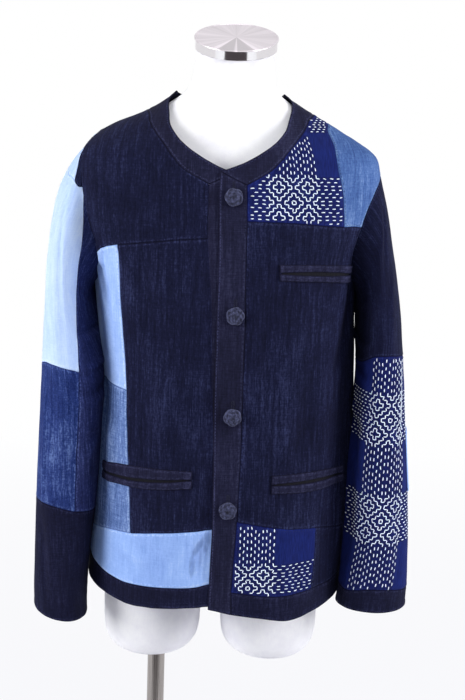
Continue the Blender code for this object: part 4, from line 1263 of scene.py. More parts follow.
def charted_stitches(u_range, v_range):
    """Middles of all stitches as (u, v, upright), with the first ring's middle at (0, 0)."""
    found = []
    for j in range(*v_range):
        for i in range(*u_range):
            level, upright = row_start(j), row_start(i)
            if level is not None and (i + level) % 2 == 0:
                found.append((i + 0.5, j, 0))
            if upright is not None and (j + upright) % 2 == 0:
                found.append((i, j + 0.5, 1))
    return np.array(found, float) - (0.5, 0.5, 0)  # the ring's middle lies between two rows


def inside(polygon, u, v):
    """Which points lie inside a polygon."""
    x0, y0 = polygon[:, :1], polygon[:, 1:]
    x1, y1 = np.roll(polygon, -1, 0)[:, :1], np.roll(polygon, -1, 0)[:, 1:]
    crosses = (y0 > v) != (y1 > v)
    slope = np.where(y1 == y0, 1.0, y1 - y0)
    return (crosses & (u < x0 + (v - y0) / slope * (x1 - x0))).sum(0) % 2 == 1


def lay_sashiko(name, surface, place, chart, edges, u_range, v_range, out, lowest_level=-99):
    """Stitches over a piece, between its edges."""
    around = np.vstack([edges[0], edges[3], edges[1][::-1], edges[2][::-1]])
    border = np.column_stack(chart(around[:, 0], around[:, 1]))
    u, v, upright = charted_stitches(u_range, v_range).T
    reach = np.hypot(u[:, None] - border[:, 0], v[:, None] - border[:, 1]).min(1)
    keep = inside(border, u, v) & (reach > CLEAR) & ((upright > 0) | (v > lowest_level))
    u, v, upright = u[keep][:, None], v[keep][:, None], upright[keep][:, None] > 0

    def chance(spread):
        """A random amount for each stitch."""
        return spread * dice.standard_normal(len(u))[:, None]

    x, y, z = GRAIN.T
    along = x * HALF_LONG * (1 + chance(0.06))
    off = y * HALF_WIDE + chance(0.05) * x
    du = np.where(upright, off, along) + chance(0.03)
    dv = np.where(upright, along, off) + chance(0.03)
    a, b = place(u + du, v + dv)
    height = np.broadcast_to(out + 0.42 + 0.52 * z - 0.5 * x**2, a.shape)
    threads = stitched(name, surface(a, b, height))
    print(name, "has", len(u), "stitches")
    return threads


SASHIKO = {
    "left_front_shoulder_sashiko": lay_sashiko(
        "shoulder_stitches", on_body, shoulder_place, shoulder_chart, shoulder_patch, (-14, 20), (-8, 34),
        STITCHED_OUT,
    ),
    "left_front_hem_sashiko": lay_sashiko(
        "hem_stitches", on_body, hem_place, hem_chart, hem_square, (-10, 24), (-8, 24), STITCHED_OUT,
    ),
    "left_sleeve_sashiko": lay_sashiko(
        "sleeve_stitches", on_left, sleeve_place, sleeve_units, sashiko_round + sashiko_sides,
        (-30, 32), (-60, 32), 0.0, lowest_level=-49,
    ),
}

# %% [markdown]
# ## Pockets
#
# Each pocket is a slit with two bound lips, laid on the front. With years of hands in them the lips have
# gone soft: they bulge, and the slit gapes in the middle. A strip of pocketing shows between them, coloured
# near black as painted shade inside the slit.

# %% Pocket lips
# angle and height along the top, the slit and the bottom
POCKETS = {
    "chest_pocket": (
        [(28, 462), (48, 461), (70, 456)],
        [(28, 451), (48, 449), (70, 444)],
        [(28, 441), (48, 438), (70, 432)],
    ),
    "right_pocket": (
        [(-65.5, 178), (-51, 184), (-35, 188), (-12, 190)],
        [(-65, 166), (-51, 166), (-35, 170), (-12, 178)],
        [(-65, 153), (-53, 155), (-35, 158), (-12, 166)],
    ),
    "left_pocket": (
        [(26.5, 186), (45, 186), (69, 181)],
        [(26.5, 173), (45, 173), (69, 170)],
        [(26.5, 161), (50, 158), (69, 158)],
    ),
}
# how far the slit gapes up and down
GAPE = {"chest_pocket": (2.0, 1.9), "right_pocket": (1.3, 1.4), "left_pocket": (1.4, 1.6)}
WELT_OUT, MOUTH_OUT, MOUTH_HALF = 1.55, 0.45, 3.6  # how far lips and pocketing stand out, half its height


def shifted(edge, rise):
    """A line moved up by an amount that may change along it."""
    return edge + np.column_stack([np.zeros(len(edge)), np.broadcast_to(rise, len(edge))])


def welt(name, low, high, bulge):
    """One lip, swelling between its edges."""
    ends = np.array([low[0], high[0]]), np.array([low[-1], high[-1]])
    pairs = lay(on_body, low, high, *ends, 1.9)
    v = np.linspace(0, 1, pairs.shape[0])[:, None]
    u = np.linspace(0, 1, pairs.shape[1])[None]
    sag = 0.5 * ripple(u * 7, v * 1.5, len(name))
    swell = (bulge + sag) * np.sin(np.pi * v) ** 0.7 * np.sin(np.pi * np.clip(u, 0.02, 0.98)) ** 0.4
    cloth(name, on_body, pairs, "charcoal", "ffff", WELT_OUT + swell, pucker=0.6)


MOUTHS = {}
half_wave = np.sin(np.pi * np.linspace(0, 1, DENSE)) ** 0.8
for name, (top, slit, bottom) in POCKETS.items():
    top, slit, bottom = line(top), line(slit), line(bottom)
    upper, lower = GAPE[name]
    welt(name + "_upper_welt", shifted(slit, 0.4 + upper * half_wave), top, 1.0)
    welt(name + "_lower_welt", bottom, shifted(slit, -0.4 - lower * half_wave), 1.3)
    low, high = shifted(slit, -MOUTH_HALF)[4:-4], shifted(slit, MOUTH_HALF)[4:-4]
    inner = lay(on_body, low, high, np.array([low[0], high[0]]), np.array([low[-1], high[-1]]), 3)
    points = on_body(inner[..., 0], inner[..., 1], np.full(inner.shape[:2], MOUTH_OUT))
    MOUTHS[name] = grid_piece(name + "_mouth", points, wall=0.3)
print("pocket pieces:", len(POCKETS) * 3)

# %% [markdown]
# ## Buttonholes and running stitches
#
# A buttonhole stands upright above each button, bound with close stitches. Along the front edge, the
# neck, the hems and the patches runs a line of small hand stitches, which sinks into the cloth. They all
# use the same grain as the sashiko, in other threads.

# %% Stitch rows
BUTTONS = [(10, 544), (17, 396), (18, 265), (16, 139)]  # x and height
BESIDE = 2.3  # how far beside a seam the running stitches lie


def frames(surface, a, b):
    """Points of a surface, with the directions along a, square to it, and outwards."""
    here = surface(a, b)
    outward = surface(a, b, np.ones(np.shape(a))) - here
    along = unit(surface(a + 0.02, b) - here)
    return here, along, np.cross(outward, along), outward


def set_stitches(here, way, across, outward, size, out):
    """Grains at these places. Size is half a stitch's length, width and height."""
    grains = here[:, None] + way[:, None] * (GRAIN[:, 0] * size[0])[None, :, None]
    grains = grains + across[:, None] * (GRAIN[:, 1] * size[1])[None, :, None]
    height = out[:, None] + GRAIN[None, :, 2] * size[2] - 0.45 * size[2] * GRAIN[None, :, 0] ** 2
    return grains + outward[:, None] * height[..., None]


ROWS = {}


def stitch_row(
    group, surface, edge, inset, base=0.0, kind="s", pitch=4.6, size=(1.15, 0.26, 0.26), skip=5.0,
):
    """A row of running stitches beside an edge. A positive inset lies on the left of its direction."""
    run = lengths(surface(edge[:, 0], edge[:, 1]))
    marks = np.arange(skip, run[-1] - skip, pitch)
    a, b = np.interp(marks, run, edge[:, 0]), np.interp(marks, run, edge[:, 1])
    ahead = marks + 0.01 * run[-1]
    here, _, _, outward = frames(surface, a, b)
    way = unit(surface(np.interp(ahead, run, edge[:, 0]), np.interp(ahead, run, edge[:, 1])) - here)
    side = np.cross(outward, way)
    wobble = 0.22 * ripple(marks / 9, marks * 0, 4)
    out = base + edge_out(abs(inset), kind) + 0.12 + 0 * marks
    placed = set_stitches(here + side * (inset + wobble)[:, None], way, side, outward, size, out)
    ROWS.setdefault(group, []).append(placed)


# lighter thread on the front edge and the neck band
stitch_row("edge_thread", on_body, left_edge, -2.6, kind="f", pitch=4.0, size=(1.3, 0.34, 0.3))
for edge, seam, side in (
    (left_neckline, left_neck_seam, 1),
    (right_neckline, right_neck_seam, -1),
    (back_neckline, back_neck_seam, 1),
):
    stitch_row("edge_thread", on_body, edge, -3.0 * side, kind="f")
    stitch_row("edge_thread", on_body, seam, 2.6 * side)
# darker thread on the button band's seam, the hems, under the yoke and round the left front's patches
for edge in (left_band_end, left_main_end):
    stitch_row("patch_thread", on_body, edge, 2.4)
for edge in (left_hem, back_hem, right_hem):
    stitch_row("patch_thread", on_body, edge, 7.5, kind="f")
stitch_row("patch_thread", on_body, right_main_top, BESIDE)
for edge in (square_foot, square_side, lower_side_top, chambray_foot):
    stitch_row("patch_thread", on_body, edge, BESIDE, base=0.15)
for edge in (square_top, square_end, shoulder_patch_foot, chambray_edge):
    stitch_row("patch_thread", on_body, edge, -BESIDE, base=0.15)
for top, _, bottom in POCKETS.values():
    for edge, inset in ((line(top), -2.0), (line(bottom), 2.0)):
        stitch_row("patch_thread", on_body, edge, inset, base=2.0, pitch=4.2, skip=4)
for surface, edge, inset, base in (
    (on_right, round_sleeve(12.5, 35.5, 8.7), 0.0, 0.0),
    (on_left, round_sleeve(12.5, 35.5, 8.8), 0.0, 0.0),
    (on_right, denim_foot, BESIDE, 0.0),
    (on_left, round_sleeve(12.5, 35.5, ELBOW_SEAM), BESIDE, 0.0),
    (on_left, round_sleeve(12.5, 35.5, WRIST_SEAM), -BESIDE, 0.0),
    (on_left, round_sleeve(22.2, 25.3, 6.0), 0.0, PATCH_OUT),
    (on_left, round_sleeve(22.2, 25.3, 6.7), 0.0, PATCH_OUT),
):
    stitch_row("patch_thread", surface, edge, inset, base=base)

# buttonholes: two close rows of short level stitches, and a bar at the top
holes = []
for x, height in BUTTONS:
    angle = at_x(x, height)[0]
    heights = np.arange(height + 1, height + 20, 0.85)
    for offset in (-0.52, 0.52):
        side = frames(on_body, np.full(len(heights), angle + offset), heights)
        holes.append(set_stitches(*side, (0.95, 0.4, 0.3), np.full(len(heights), 0.12)))
    bar = angle + np.array([-0.35, 0.0, 0.35])
    here, along, up, outward = frames(on_body, bar, np.full(3, height + 20.0))
    holes.append(set_stitches(here, up, along, outward, (1.0, 0.36, 0.3), np.full(3, 0.15)))
THREADS = {group: stitched(group, np.concatenate(rows)) for group, rows in ROWS.items()}
THREADS["buttonhole_stitches"] = stitched("buttonhole_stitches", np.concatenate(holes))
print({name: len(obj.data.polygons) // len(GRAIN_FACES) for name, obj in THREADS.items()})

# %% [markdown]
# ## Knotted buttons
#
# The buttons are balls of cloth cord, tied as a Turk's head. One cord goes round three times and weaves
# over and under itself, which makes the lobes. The path is a curve with a round bevel: it is turned into
# a mesh once and set on each button's place, over a plain core that closes the knot.

# %% One button
LEADS, BIGHTS = 3, 5
CORD_RADIUS = 2.35 * MM
KNOT_SIZE, KNOT_POINTS = (12.1, 12.1, 9.8), 240
CORE_RADIUS, CORE_ABOVE, CORE_BELOW = 11.2, 6.6, 2.4


def knot_path():
    """Points of the woven cord, on a dome that is 1 wide and 1 high."""
    t = np.linspace(0, 2 * np.pi * LEADS, KNOT_POINTS, endpoint=False)
    radius = 0.56 + 0.24 * np.cos(BIGHTS * t / LEADS)
    rise = np.sqrt(np.clip(1 - radius**2, 0, 1)) * 0.62 + 0.1 * np.sin(2 * BIGHTS * t / LEADS)
    return np.column_stack([radius * np.cos(t), radius * np.sin(t), rise])


def knotted_button(name, x, height, twist):
    """A knot of cord on its core, standing on the band."""
    place = at_x(x, height)
    base = Vector(on_body(*place, 0.3) * MM)
    outward = Vector(on_body(*place, 1.0) - on_body(*place)).normalized()
    stand = Matrix.Translation(base) @ outward.to_track_quat("Z", "Y").to_matrix().to_4x4()
    stand = stand @ Matrix.Rotation(twist, 4, "Z")
    data = bpy.data.curves.new(name, "CURVE")
    data.dimensions = "3D"
    data.bevel_depth = CORD_RADIUS
    data.bevel_resolution = 3
    spline = data.splines.new("POLY")
    path = knot_path() * KNOT_SIZE * MM
    spline.points.add(len(path) - 1)
    for point, co in zip(spline.points, path):
        point.co = (*co, 1)
    spline.use_cyclic_u = True
    cord = picked(linked(name, data))
    bpy.ops.object.convert(target="MESH")
    bpy.ops.mesh.primitive_uv_sphere_add(segments=32, ring_count=16, radius=1)
    core = bpy.context.active_object
    for vertex in core.data.vertices:
        x, y, z = vertex.co
        z = z * (CORE_ABOVE if z > 0 else CORE_BELOW) + CORE_BELOW
        vertex.co = (x * CORE_RADIUS * MM, y * CORE_RADIUS * MM, z * MM)
    cord.select_set(True)
    bpy.context.view_layer.objects.active = cord
    bpy.ops.object.join()
    button = bpy.context.active_object
    spots = np.array([v.co[:] for v in button.data.vertices])
    # how high each point stands over the cord's middle; the cord's material darkens the low points as
    # painted shade
    nearest = ((spots[:, None] - path[None]) ** 2).sum(2).argmin(1)
    lift = ((spots - path[nearest]) * unit(path[nearest])).sum(1) / CORD_RADIUS
    point_values(button.data, "lift", lift)
    button.data.transform(stand)
    outwards(button)
    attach(button, "root")
    return button


KNOTS = []
for number, (x, height) in enumerate(BUTTONS, 1):
    button = knotted_button(f"knotted_button_{number}", x, height, 0.7 * number)
    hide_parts(f"button_{number}")
    KNOTS.append(button)
print("buttons:", len(KNOTS), "with", len(KNOTS[0].data.polygons), "faces each")

# %% [markdown]
# ## The torso form
#
# Under the jacket stands a torso form covered in white jersey. It is a smooth loft of rings, with two
# short leg stumps joined on by a Boolean, all in one closed skin.

# %% Torso
# height, half width, depth front, back, x of its middle, rake
FORM = [
    (22, 120, 84, 84, -2, 0.0),
    (36, 148, 104, 102, -2, 0.0),
    (90, 158, 116, 112, 0, 0.0),
    (180, 148, 112, 104, 0, 0.0),
    (300, 138, 110, 98, 0, 0.0),
    (400, 148, 118, 104, 0, 0.0),
    (480, 160, 118, 106, 0, 0.0),
    (550, 176, 106, 98, 0, 0.0),
    (584, 184, 92, 86, 0, 0.0),
    (606, 179, 78, 78, -1, 0.0),
    (628, 150.5, 66, 56, -3, 0.0),
    (651, 100.3, 54, 44, 2.3, 0.0),
    (676, 63, 50, 54, 3, 0.1),
    (700, 54, 49, 55, 4, 0.25),
    (735, 52, 50, 54, 6, 0.4),
]
# height, half width, half depth
LEG = [(-118, 30, 34), (-114, 48, 54), (-105, 61, 69), (-86, 68.5, 78), (-30, 70, 80), (20, 71, 84)]
LEG.append((60, 70, 86))
AROUND = 96


def form_ring(middle_x, half_width, front, back, height, rake):
    """One level ring of the form. A rake lifts its back."""
    turn = np.linspace(0, 2 * np.pi, AROUND, endpoint=False)
    y = -np.cos(turn) * np.where(np.cos(turn) > 0, front, back)
    return np.column_stack([middle_x + half_width * np.sin(turn), y, height + y * rake + HEM])


def skin(name, rings):
    """A closed skin through rings."""
    faces = []
    for start in range(0, (len(rings) - 1) * AROUND, AROUND):
        for k in range(AROUND):
            a, b = start + k, start + (k + 1) % AROUND
            faces.append((a, b, b + AROUND, a + AROUND))
    faces.append(tuple(reversed(range(AROUND))))
    faces.append(tuple(range((len(rings) - 1) * AROUND, len(rings) * AROUND)))
    return mesh_object(name, np.concatenate(rings), faces)


rings = []
for height in np.unique(np.concatenate([np.linspace(22, 735, 90), [r[0] for r in FORM]])):
    half_width, front, back, middle_x, rake = rows_at(FORM, height)
    rings.append(form_ring(middle_x, half_width, front, back, height, rake))
torso = skin("torso_skin", rings)
for leg_x in (-89.0, 80.0):
    rings = []
    for height in np.unique(np.concatenate([np.linspace(-118, 60, 40), np.linspace(-118, -90, 12)])):
        half_width, half_depth = rows_at(LEG, height)
        rings.append(form_ring(leg_x, half_width, half_depth, half_depth, height, 0.0))
    leg = skin("leg_stump", rings)
    union = torso.modifiers.new("leg", "BOOLEAN")
    union.operation = "UNION"
    union.solver = "EXACT"
    union.object = leg
    picked(torso)
    bpy.ops.object.modifier_apply(modifier="leg")
    bpy.data.objects.remove(leg)
bpy.ops.object.shade_smooth_by_angle(angle=math.radians(55))
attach(torso, "root")
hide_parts("torso_body")
print("torso faces:", len(torso.data.polygons))

# %% [markdown]
# ## The neck cap
#
# The neck is closed by a thick steel disc, brushed in circles. It is a cylinder whose top is inset in
# steps, so that the rim keeps a crisp line and the face is faintly domed, and its edges are bevelled.

# %% Neck cap
RAKE = 0.4  # the neck's cut leans forward by this slope
neck_up = Vector((0, -RAKE, 1)).normalized()
neck_top = Vector((6.0, 0, 735 + HEM))
stand = Matrix.Translation((neck_top + neck_up * 7.3) * MM)
stand = stand @ neck_up.to_track_quat("Z", "Y").to_matrix().to_4x4()
picked(None)
bpy.ops.mesh.primitive_cylinder_add(vertices=128, radius=56.3 * MM, depth=14 * MM)
cap = bpy.context.active_object
cap.name = "brushed_neck_cap"
bpy.ops.object.mode_set(mode="EDIT")
bpy.ops.mesh.select_mode(type="FACE")
bpy.ops.mesh.select_all(action="DESELECT")
bpy.ops.object.mode_set(mode="OBJECT")
for face in cap.data.polygons:
    face.select = face.normal.z > 0.9
bpy.ops.object.mode_set(mode="EDIT")
bpy.ops.mesh.inset(thickness=2.2 * MM)
bpy.ops.mesh.inset(thickness=0.5 * MM, depth=-0.5 * MM)
bpy.ops.mesh.inset(thickness=20 * MM)
bpy.ops.mesh.inset(thickness=25 * MM, depth=0.15 * MM)
bpy.ops.object.mode_set(mode="OBJECT")
bpy.ops.object.shade_smooth_by_angle(angle=math.radians(35))
soft = cap.modifiers.new("rims", "BEVEL")
soft.width = 1.1 * MM
soft.segments = 3
soft.harden_normals = True
soft.angle_limit = math.radians(50)
bpy.ops.object.modifier_apply(modifier="rims")
cap.data.transform(stand)
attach(cap, "root")
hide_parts("neck_cap")
print("cap faces:", len(cap.data.polygons))

# %% [markdown]
# ## Cotton
#
# All the cloths share one recipe, in which the warp and weft are what you see first. Thick and thin yarns
# (slubs) run as long faint streaks up and across the cloth. The dye has worn off unevenly, most along
# seams and on top of folds, so the colour wanders between a deep and a faded tone. The light ridge beside
# each seam is partly that wear and partly a painted highlight, and the seam's groove is darkened as painted
# shade. The weave itself is fine, and lives in the bump. Each fabric then only differs in its two tones and
# in how strong each effect is. The pattern follows the flat map of each piece, so the grain turns with the
# cloth.

# %% Cotton material
class Nodes:
    """Short ways to add and join nodes of one material."""

    def __init__(self, name):
        self.material = bpy.data.materials.new(name)
        self.material.use_nodes = True
        self.tree = self.material.node_tree
        self.shader = self.tree.nodes["Principled BSDF"]

    def put(self, socket, value):
        """Gives an input a constant, or the output of another node."""
        if isinstance(value, bpy.types.NodeSocket):
            self.tree.links.new(value, socket)
        else:
            socket.default_value = value

    def node(self, kind, **inputs):
        """A new node of a kind, with some of its inputs."""
        node = self.tree.nodes.new("ShaderNode" + kind)
        for label, value in inputs.items():
            self.put(node.inputs[label], value)
        return node

    def math(self, operation, a, b=None, c=None, clamp=False):
        node = self.node("Math")
        node.operation, node.use_clamp = operation, clamp
        for socket, value in zip(node.inputs, (a, b, c)):
            if value is not None:
                self.put(socket, value)
        return node.outputs[0]

    def scaled(self, vector, scale, turn=0.0, shift=(0, 0, 0)):
        turn = (0, 0, turn)
        return self.node("Mapping", Vector=vector, Scale=scale, Rotation=turn, Location=shift).outputs[0]

    def noise(self, vector, scale=1.0, detail=2.0, rough=0.5):
        node = self.node("TexNoise", Vector=vector, Scale=scale, Detail=detail, Roughness=rough)
        return node.outputs["Fac"]

    def wave(self, vector, scale, direction, distortion):
        node = self.node("TexWave", Vector=vector, Scale=scale, Distortion=distortion, Detail=1.0)
        node.bands_direction = direction
        return node.outputs["Fac"]

    def added(self, total, mark, strength):
        """A total with a mark of 0 to 1 added, so that a middling mark changes nothing."""
        return self.math("MULTIPLY_ADD", self.math("SUBTRACT", mark, 0.5), strength, total)

    def spread(self, value, low, high, out_low=0.0, out_high=1.0):
        """A value's place between low and high, held within these bounds."""
        node = self.node("MapRange")
        for socket, number in zip(node.inputs, (value, low, high, out_low, out_high)):
            self.put(socket, number)
        return node.outputs[0]

    def mix(self, share, a, b):
        node = self.node("Mix")
        node.data_type = "RGBA"
        for index, value in ((0, share), (6, a), (7, b)):
            self.put(node.inputs[index], value)
        return node.outputs[2]

    def uv(self, name):
        node = self.node("UVMap")
        node.uv_map = name
        return node.outputs[0]

    def place(self):
        return self.node("TexCoord").outputs["Object"]

    def parts(self, vector):
        return self.node("SeparateXYZ", Vector=vector).outputs

    def attribute(self, name):
        node = self.node("Attribute")
        node.attribute_name = name
        return node.outputs["Fac"]

    def bump(self, height, strength, distance):
        node = self.node("Bump", Strength=strength, Distance=distance, Height=height)
        self.put(self.shader.inputs["Normal"], node.outputs[0])


def colour(red, green, blue):
    """A linear colour from 0 to 255 values on the usual screen curve."""
    parts = [c / 255 for c in (red, green, blue)]
    return tuple(c / 12.92 if c <= 0.04045 else ((c + 0.055) / 1.055) ** 2.4 for c in parts) + (1.0,)


def cotton(
    name, deep, middle, worn, warp=0.6, weft=0.24, fade=0.34, wear_and_highlight=0.4, fleck=0.0, twill=0.0, sheen=0.03,
    squares=None, painted_shade=(), seed=0,
):
    """A worn woven cotton. Deep, middle and worn are its tones, in values up to 255."""
    n = Nodes(name)
    deep, middle, worn = colour(*deep), colour(*middle), colour(*worn)
    mm = n.scaled(n.uv("cloth"), (1000, 1000, 1000), shift=(37 * seed, 91 * seed, 0))

    def marks(across, along, shift=(0, 0, 0), detail=2.0, rough=0.5):
        """Noise whose marks are so many mm wide and long."""
        return n.noise(n.scaled(mm, (1 / across, 1 / along, 1), shift=shift), detail=detail, rough=rough)

    warp_yarn = marks(1.35, 26, detail=2.5, rough=0.6)
    tone = 0.42
    for mark, strength in (
        (warp_yarn, warp * 1.7),
        (marks(0.6, 9, detail=1.0), warp * 0.9),
        (marks(4.4, 70, (3, 2, 8)), warp * 1.5),
        (marks(19, 1.2, (7, 3, 1), rough=0.6), weft * 2.2),
        (marks(95, 140, (2, 5, 4)), fade * 1.8),
        (marks(17, 30, (9, 1, 2), 3.0, 0.62), fade * 1.2),
        (marks(2.6, 4.5, (5, 7, 2), rough=0.7), warp * 1.5),
    ):
        tone = n.added(tone, mark, strength)
    # wear, partly a painted highlight, on the ridge beside each seam, wear on raised folds, and painted
    # shade in the seam's groove
    edge = n.attribute("edge")
    ridge = n.math("MULTIPLY", n.spread(edge, 0.5, 2.0), n.spread(edge, 5.0, 2.6))
    patchy = n.spread(marks(3.2, 3.2, (4, 8, 6), 3.0), 0.42, 0.62)
    tone = n.math("MULTIPLY_ADD", n.math("MULTIPLY", ridge, patchy), wear_and_highlight, tone)
    tone = n.math("MULTIPLY_ADD", n.spread(n.attribute("fold"), -3.0, 3.0, -0.35, 0.35), wear_and_highlight, tone)
    # painted shade: darker within 1.2 mm of an edge, down in the seam's groove
    tone = n.math("MULTIPLY_ADD", n.spread(edge, 1.2, 0.0), -0.4, tone, clamp=True)
    base = n.mix(n.spread(tone, 0.0, 0.5), deep, middle)
    base = n.mix(n.spread(tone, 0.5, 1.0), base, worn)
    if fleck:
        base = n.mix(n.spread(marks(0.9, 2.2, (1, 2, 3), 1.0), 0.62, 0.74, 0.0, fleck), base, worn)
    if squares:
        chart, half = n.parts(n.uv("chart")), REPEAT / 2
        sides = []
        for axis in (0, 1):
            off = n.math("WRAP", n.math("SUBTRACT", chart[axis], half), half, -half)
            sides.append(n.spread(n.math("ABSOLUTE", off), half / 2 + 0.05, half / 2 - 0.1))
        dyed = n.mix(n.spread(marks(1.2, 14), 0.3, 0.7), *(colour(*tint) for tint in squares))
        base = n.mix(n.math("MULTIPLY", *sides), base, dyed)
    # painted shade: tilted streaks of a darker tint with ragged edges, where the cloth folds
    for x, height, half_width, half_length, tilt, tint, amount in painted_shade:
        ragged = marks(5, 16, (6, 6, 6), 3.0, 0.6)
        lean = math.radians(tilt)
        s, c = math.sin(lean), math.cos(lean)
        spot = n.scaled(n.uv("cloth"), (1000, 1000, 1), lean, (height * s - x * c, -x * s - height * c, 0))
        halves = zip(n.parts(spot), (half_width, half_length))
        off = [n.math("MULTIPLY", part, 1 / half) for part, half in halves]
        far = n.math("ADD", *(n.math("MULTIPLY", part, part) for part in off))
        base = n.mix(n.spread(n.added(far, ragged, 1.8), 1.1, 0.1, 0.0, amount), base, colour(*tint))
    n.put(n.shader.inputs["Base Color"], base)
    n.put(n.shader.inputs["Roughness"], n.spread(tone, 0.0, 1.0, 0.96, 0.84))
    n.shader.inputs["Specular IOR Level"].default_value = 0.12
    n.shader.inputs["Sheen Weight"].default_value = sheen
    n.shader.inputs["Sheen Roughness"].default_value = 0.45
    n.shader.inputs["Sheen Tint"].default_value = middle
    # the weave: warp and weft at 0.8 mm, with a diagonal where it is a twill
    weave = n.math("MULTIPLY", n.wave(mm, 0.39, "X", 0.6), n.wave(mm, 0.37, "Y", 0.6))
    if twill:
        weave = n.math("MULTIPLY_ADD", n.wave(n.scaled(mm, (1, 1, 1), 0.9), 0.21, "X", 0.5), twill, weave)
    height = n.math("MULTIPLY_ADD", warp_yarn, 1.4, weave)
    n.bump(n.math("MULTIPLY_ADD", marks(6.5, 9), 2.2, height), 0.55, 0.00035)
    return n.material


PALE = {"warp": 0.3, "weft": 0.2, "wear_and_highlight": 0.45, "sheen": 0.06}
COTTONS = {
    "indigo": cotton("indigo_cloth", (8, 10, 31), (17, 20, 49), (46, 52, 90), twill=0.5, seed=1),
    "charcoal": cotton(
        "charcoal_cloth", (12, 12, 29), (26, 27, 52), (52, 53, 84), warp=0.4, weft=0.3, fade=0.3, seed=2,
    ),
    "light_blue": cotton(
        "pale_blue_cloth", (138, 168, 228), (170, 198, 248), (206, 224, 254), fade=0.5, seed=3, **PALE,
    ),
    "grey_blue": cotton(
        "grey_blue_cloth", (58, 82, 136), (104, 130, 186), (166, 188, 226), weft=0.34, fade=0.5, wear_and_highlight=0.3,
        fleck=0.3, seed=4,
    ),
    "chambray": cotton(
        "chambray_cloth", (44, 71, 128), (78, 108, 166), (136, 163, 206), warp=0.5, fade=0.45, wear_and_highlight=0.3,
        fleck=0.2, seed=5,
    ),
    "mid_denim": cotton(
        "mid_denim_cloth", (18, 31, 82), (37, 55, 114), (98, 120, 176), fade=0.55, fleck=0.35, twill=0.6,
        seed=6,
    ),
    "sashiko": cotton(
        "sashiko_ground", (7, 11, 52), (16, 25, 84), (38, 54, 128), warp=0.4, fade=0.25, wear_and_highlight=0.25, seed=7,
        squares=((14, 23, 76), (24, 38, 108)),
    ),
}
# the right sleeve's inner piece gets an indigo painted lighter than the rest, as painted light on its shaded
# side towards the body
INDIGO_PAINTED_LIGHTER = cotton("indigo_painted_lighter_cloth", (22, 28, 62), (40, 48, 96), (80, 94, 146), twill=0.5, seed=10)
CUFF_CLOTH = cotton(
    "cuff_cloth", (8, 9, 28), (18, 20, 46), (44, 46, 80), warp=0.45, weft=0.3, fade=0.3, seed=10,
)
# the pale cloth is washed out most on the sleeve, and at the hem it carries painted shade of its folds
PALEST = cotton(
    "palest_blue_cloth", (164, 191, 243), (194, 216, 253), (218, 232, 255), fade=0.45, seed=8, **PALE,
)
# streaks of painted fold shade: across and height on the cloth in mm, half width, half length, tilt in
# degrees, tint, strength
PAINTED_FOLD_SHADE = (
    (-18, 82, 14, 30, 10, (128, 154, 212), 0.5),
    (-21.5, 86, 4.2, 21, 27, (94, 120, 174), 0.6),
    (-28.4, 60, 4.4, 18, 2, (98, 124, 178), 0.55),
    (-9.6, 94, 5.0, 20, 4, (84, 108, 162), 0.65),
)
FOLD_SHADED_BLUE = cotton(
    "fold_shaded_blue_cloth", (122, 154, 222), (152, 184, 243), (190, 213, 252), fade=0.45, seed=9,
    painted_shade=PAINTED_FOLD_SHADE, **PALE,
)
OWN_CLOTH = {
    "right_sleeve_inner": INDIGO_PAINTED_LIGHTER,
    "right_sleeve_cuff": CUFF_CLOTH,
    "right_front_hem_band": CUFF_CLOTH,
    "left_front_hem_band": CUFF_CLOTH,
    "back_hem_band": CUFF_CLOTH,
    "left_sleeve_cuff": CUFF_CLOTH,
    "right_sleeve_light_panel": PALEST,
    "right_sleeve_crown": PALEST,
    "right_front_hem_patch": FOLD_SHADED_BLUE,
}
print("cloths:", ", ".join(material.name for material in COTTONS.values()))

# %% [markdown]
# ## Threads, cord, jersey and steel
#
# Thread and cord are small, so a fine twist in their colour is enough; the cord is darkened low in its knot
# as painted shade. The form's jersey is nearly white, with a faint knit and some old yellowing. The steel
# is a metal whose brush marks run round the cap and along the pole. They change its brightness and
# roughness from line to line. On the cap's face they also carry a painted reflection: a dark wedge towards
# the front, with a bright line on either side.

# %% Other materials
def thread_material(name, dark, light, scale=900, sheen=0.0, painted_knot_shade=None):
    """Twisted cotton between two tones. A third tone, low in a knot, is painted shade."""
    n = Nodes(name)
    twist = n.noise(n.scaled(n.place(), (scale, scale, scale * 0.6)), detail=2.0)
    base = n.mix(n.spread(twist, 0.3, 0.7), colour(*dark), colour(*light))
    if painted_knot_shade:
        # painted shade: darker where the cord lies low in the knot and on the core
        base = n.mix(n.spread(n.attribute("lift"), -0.1, 0.95), colour(*painted_knot_shade), base)
    n.put(n.shader.inputs["Base Color"], base)
    n.put(n.shader.inputs["Roughness"], n.spread(twist, 0.0, 1.0, 0.95, 0.75))
    n.shader.inputs["Specular IOR Level"].default_value = 0.2
    n.shader.inputs["Sheen Weight"].default_value = sheen
    n.bump(twist, 0.4, 0.0002)
    return n.material


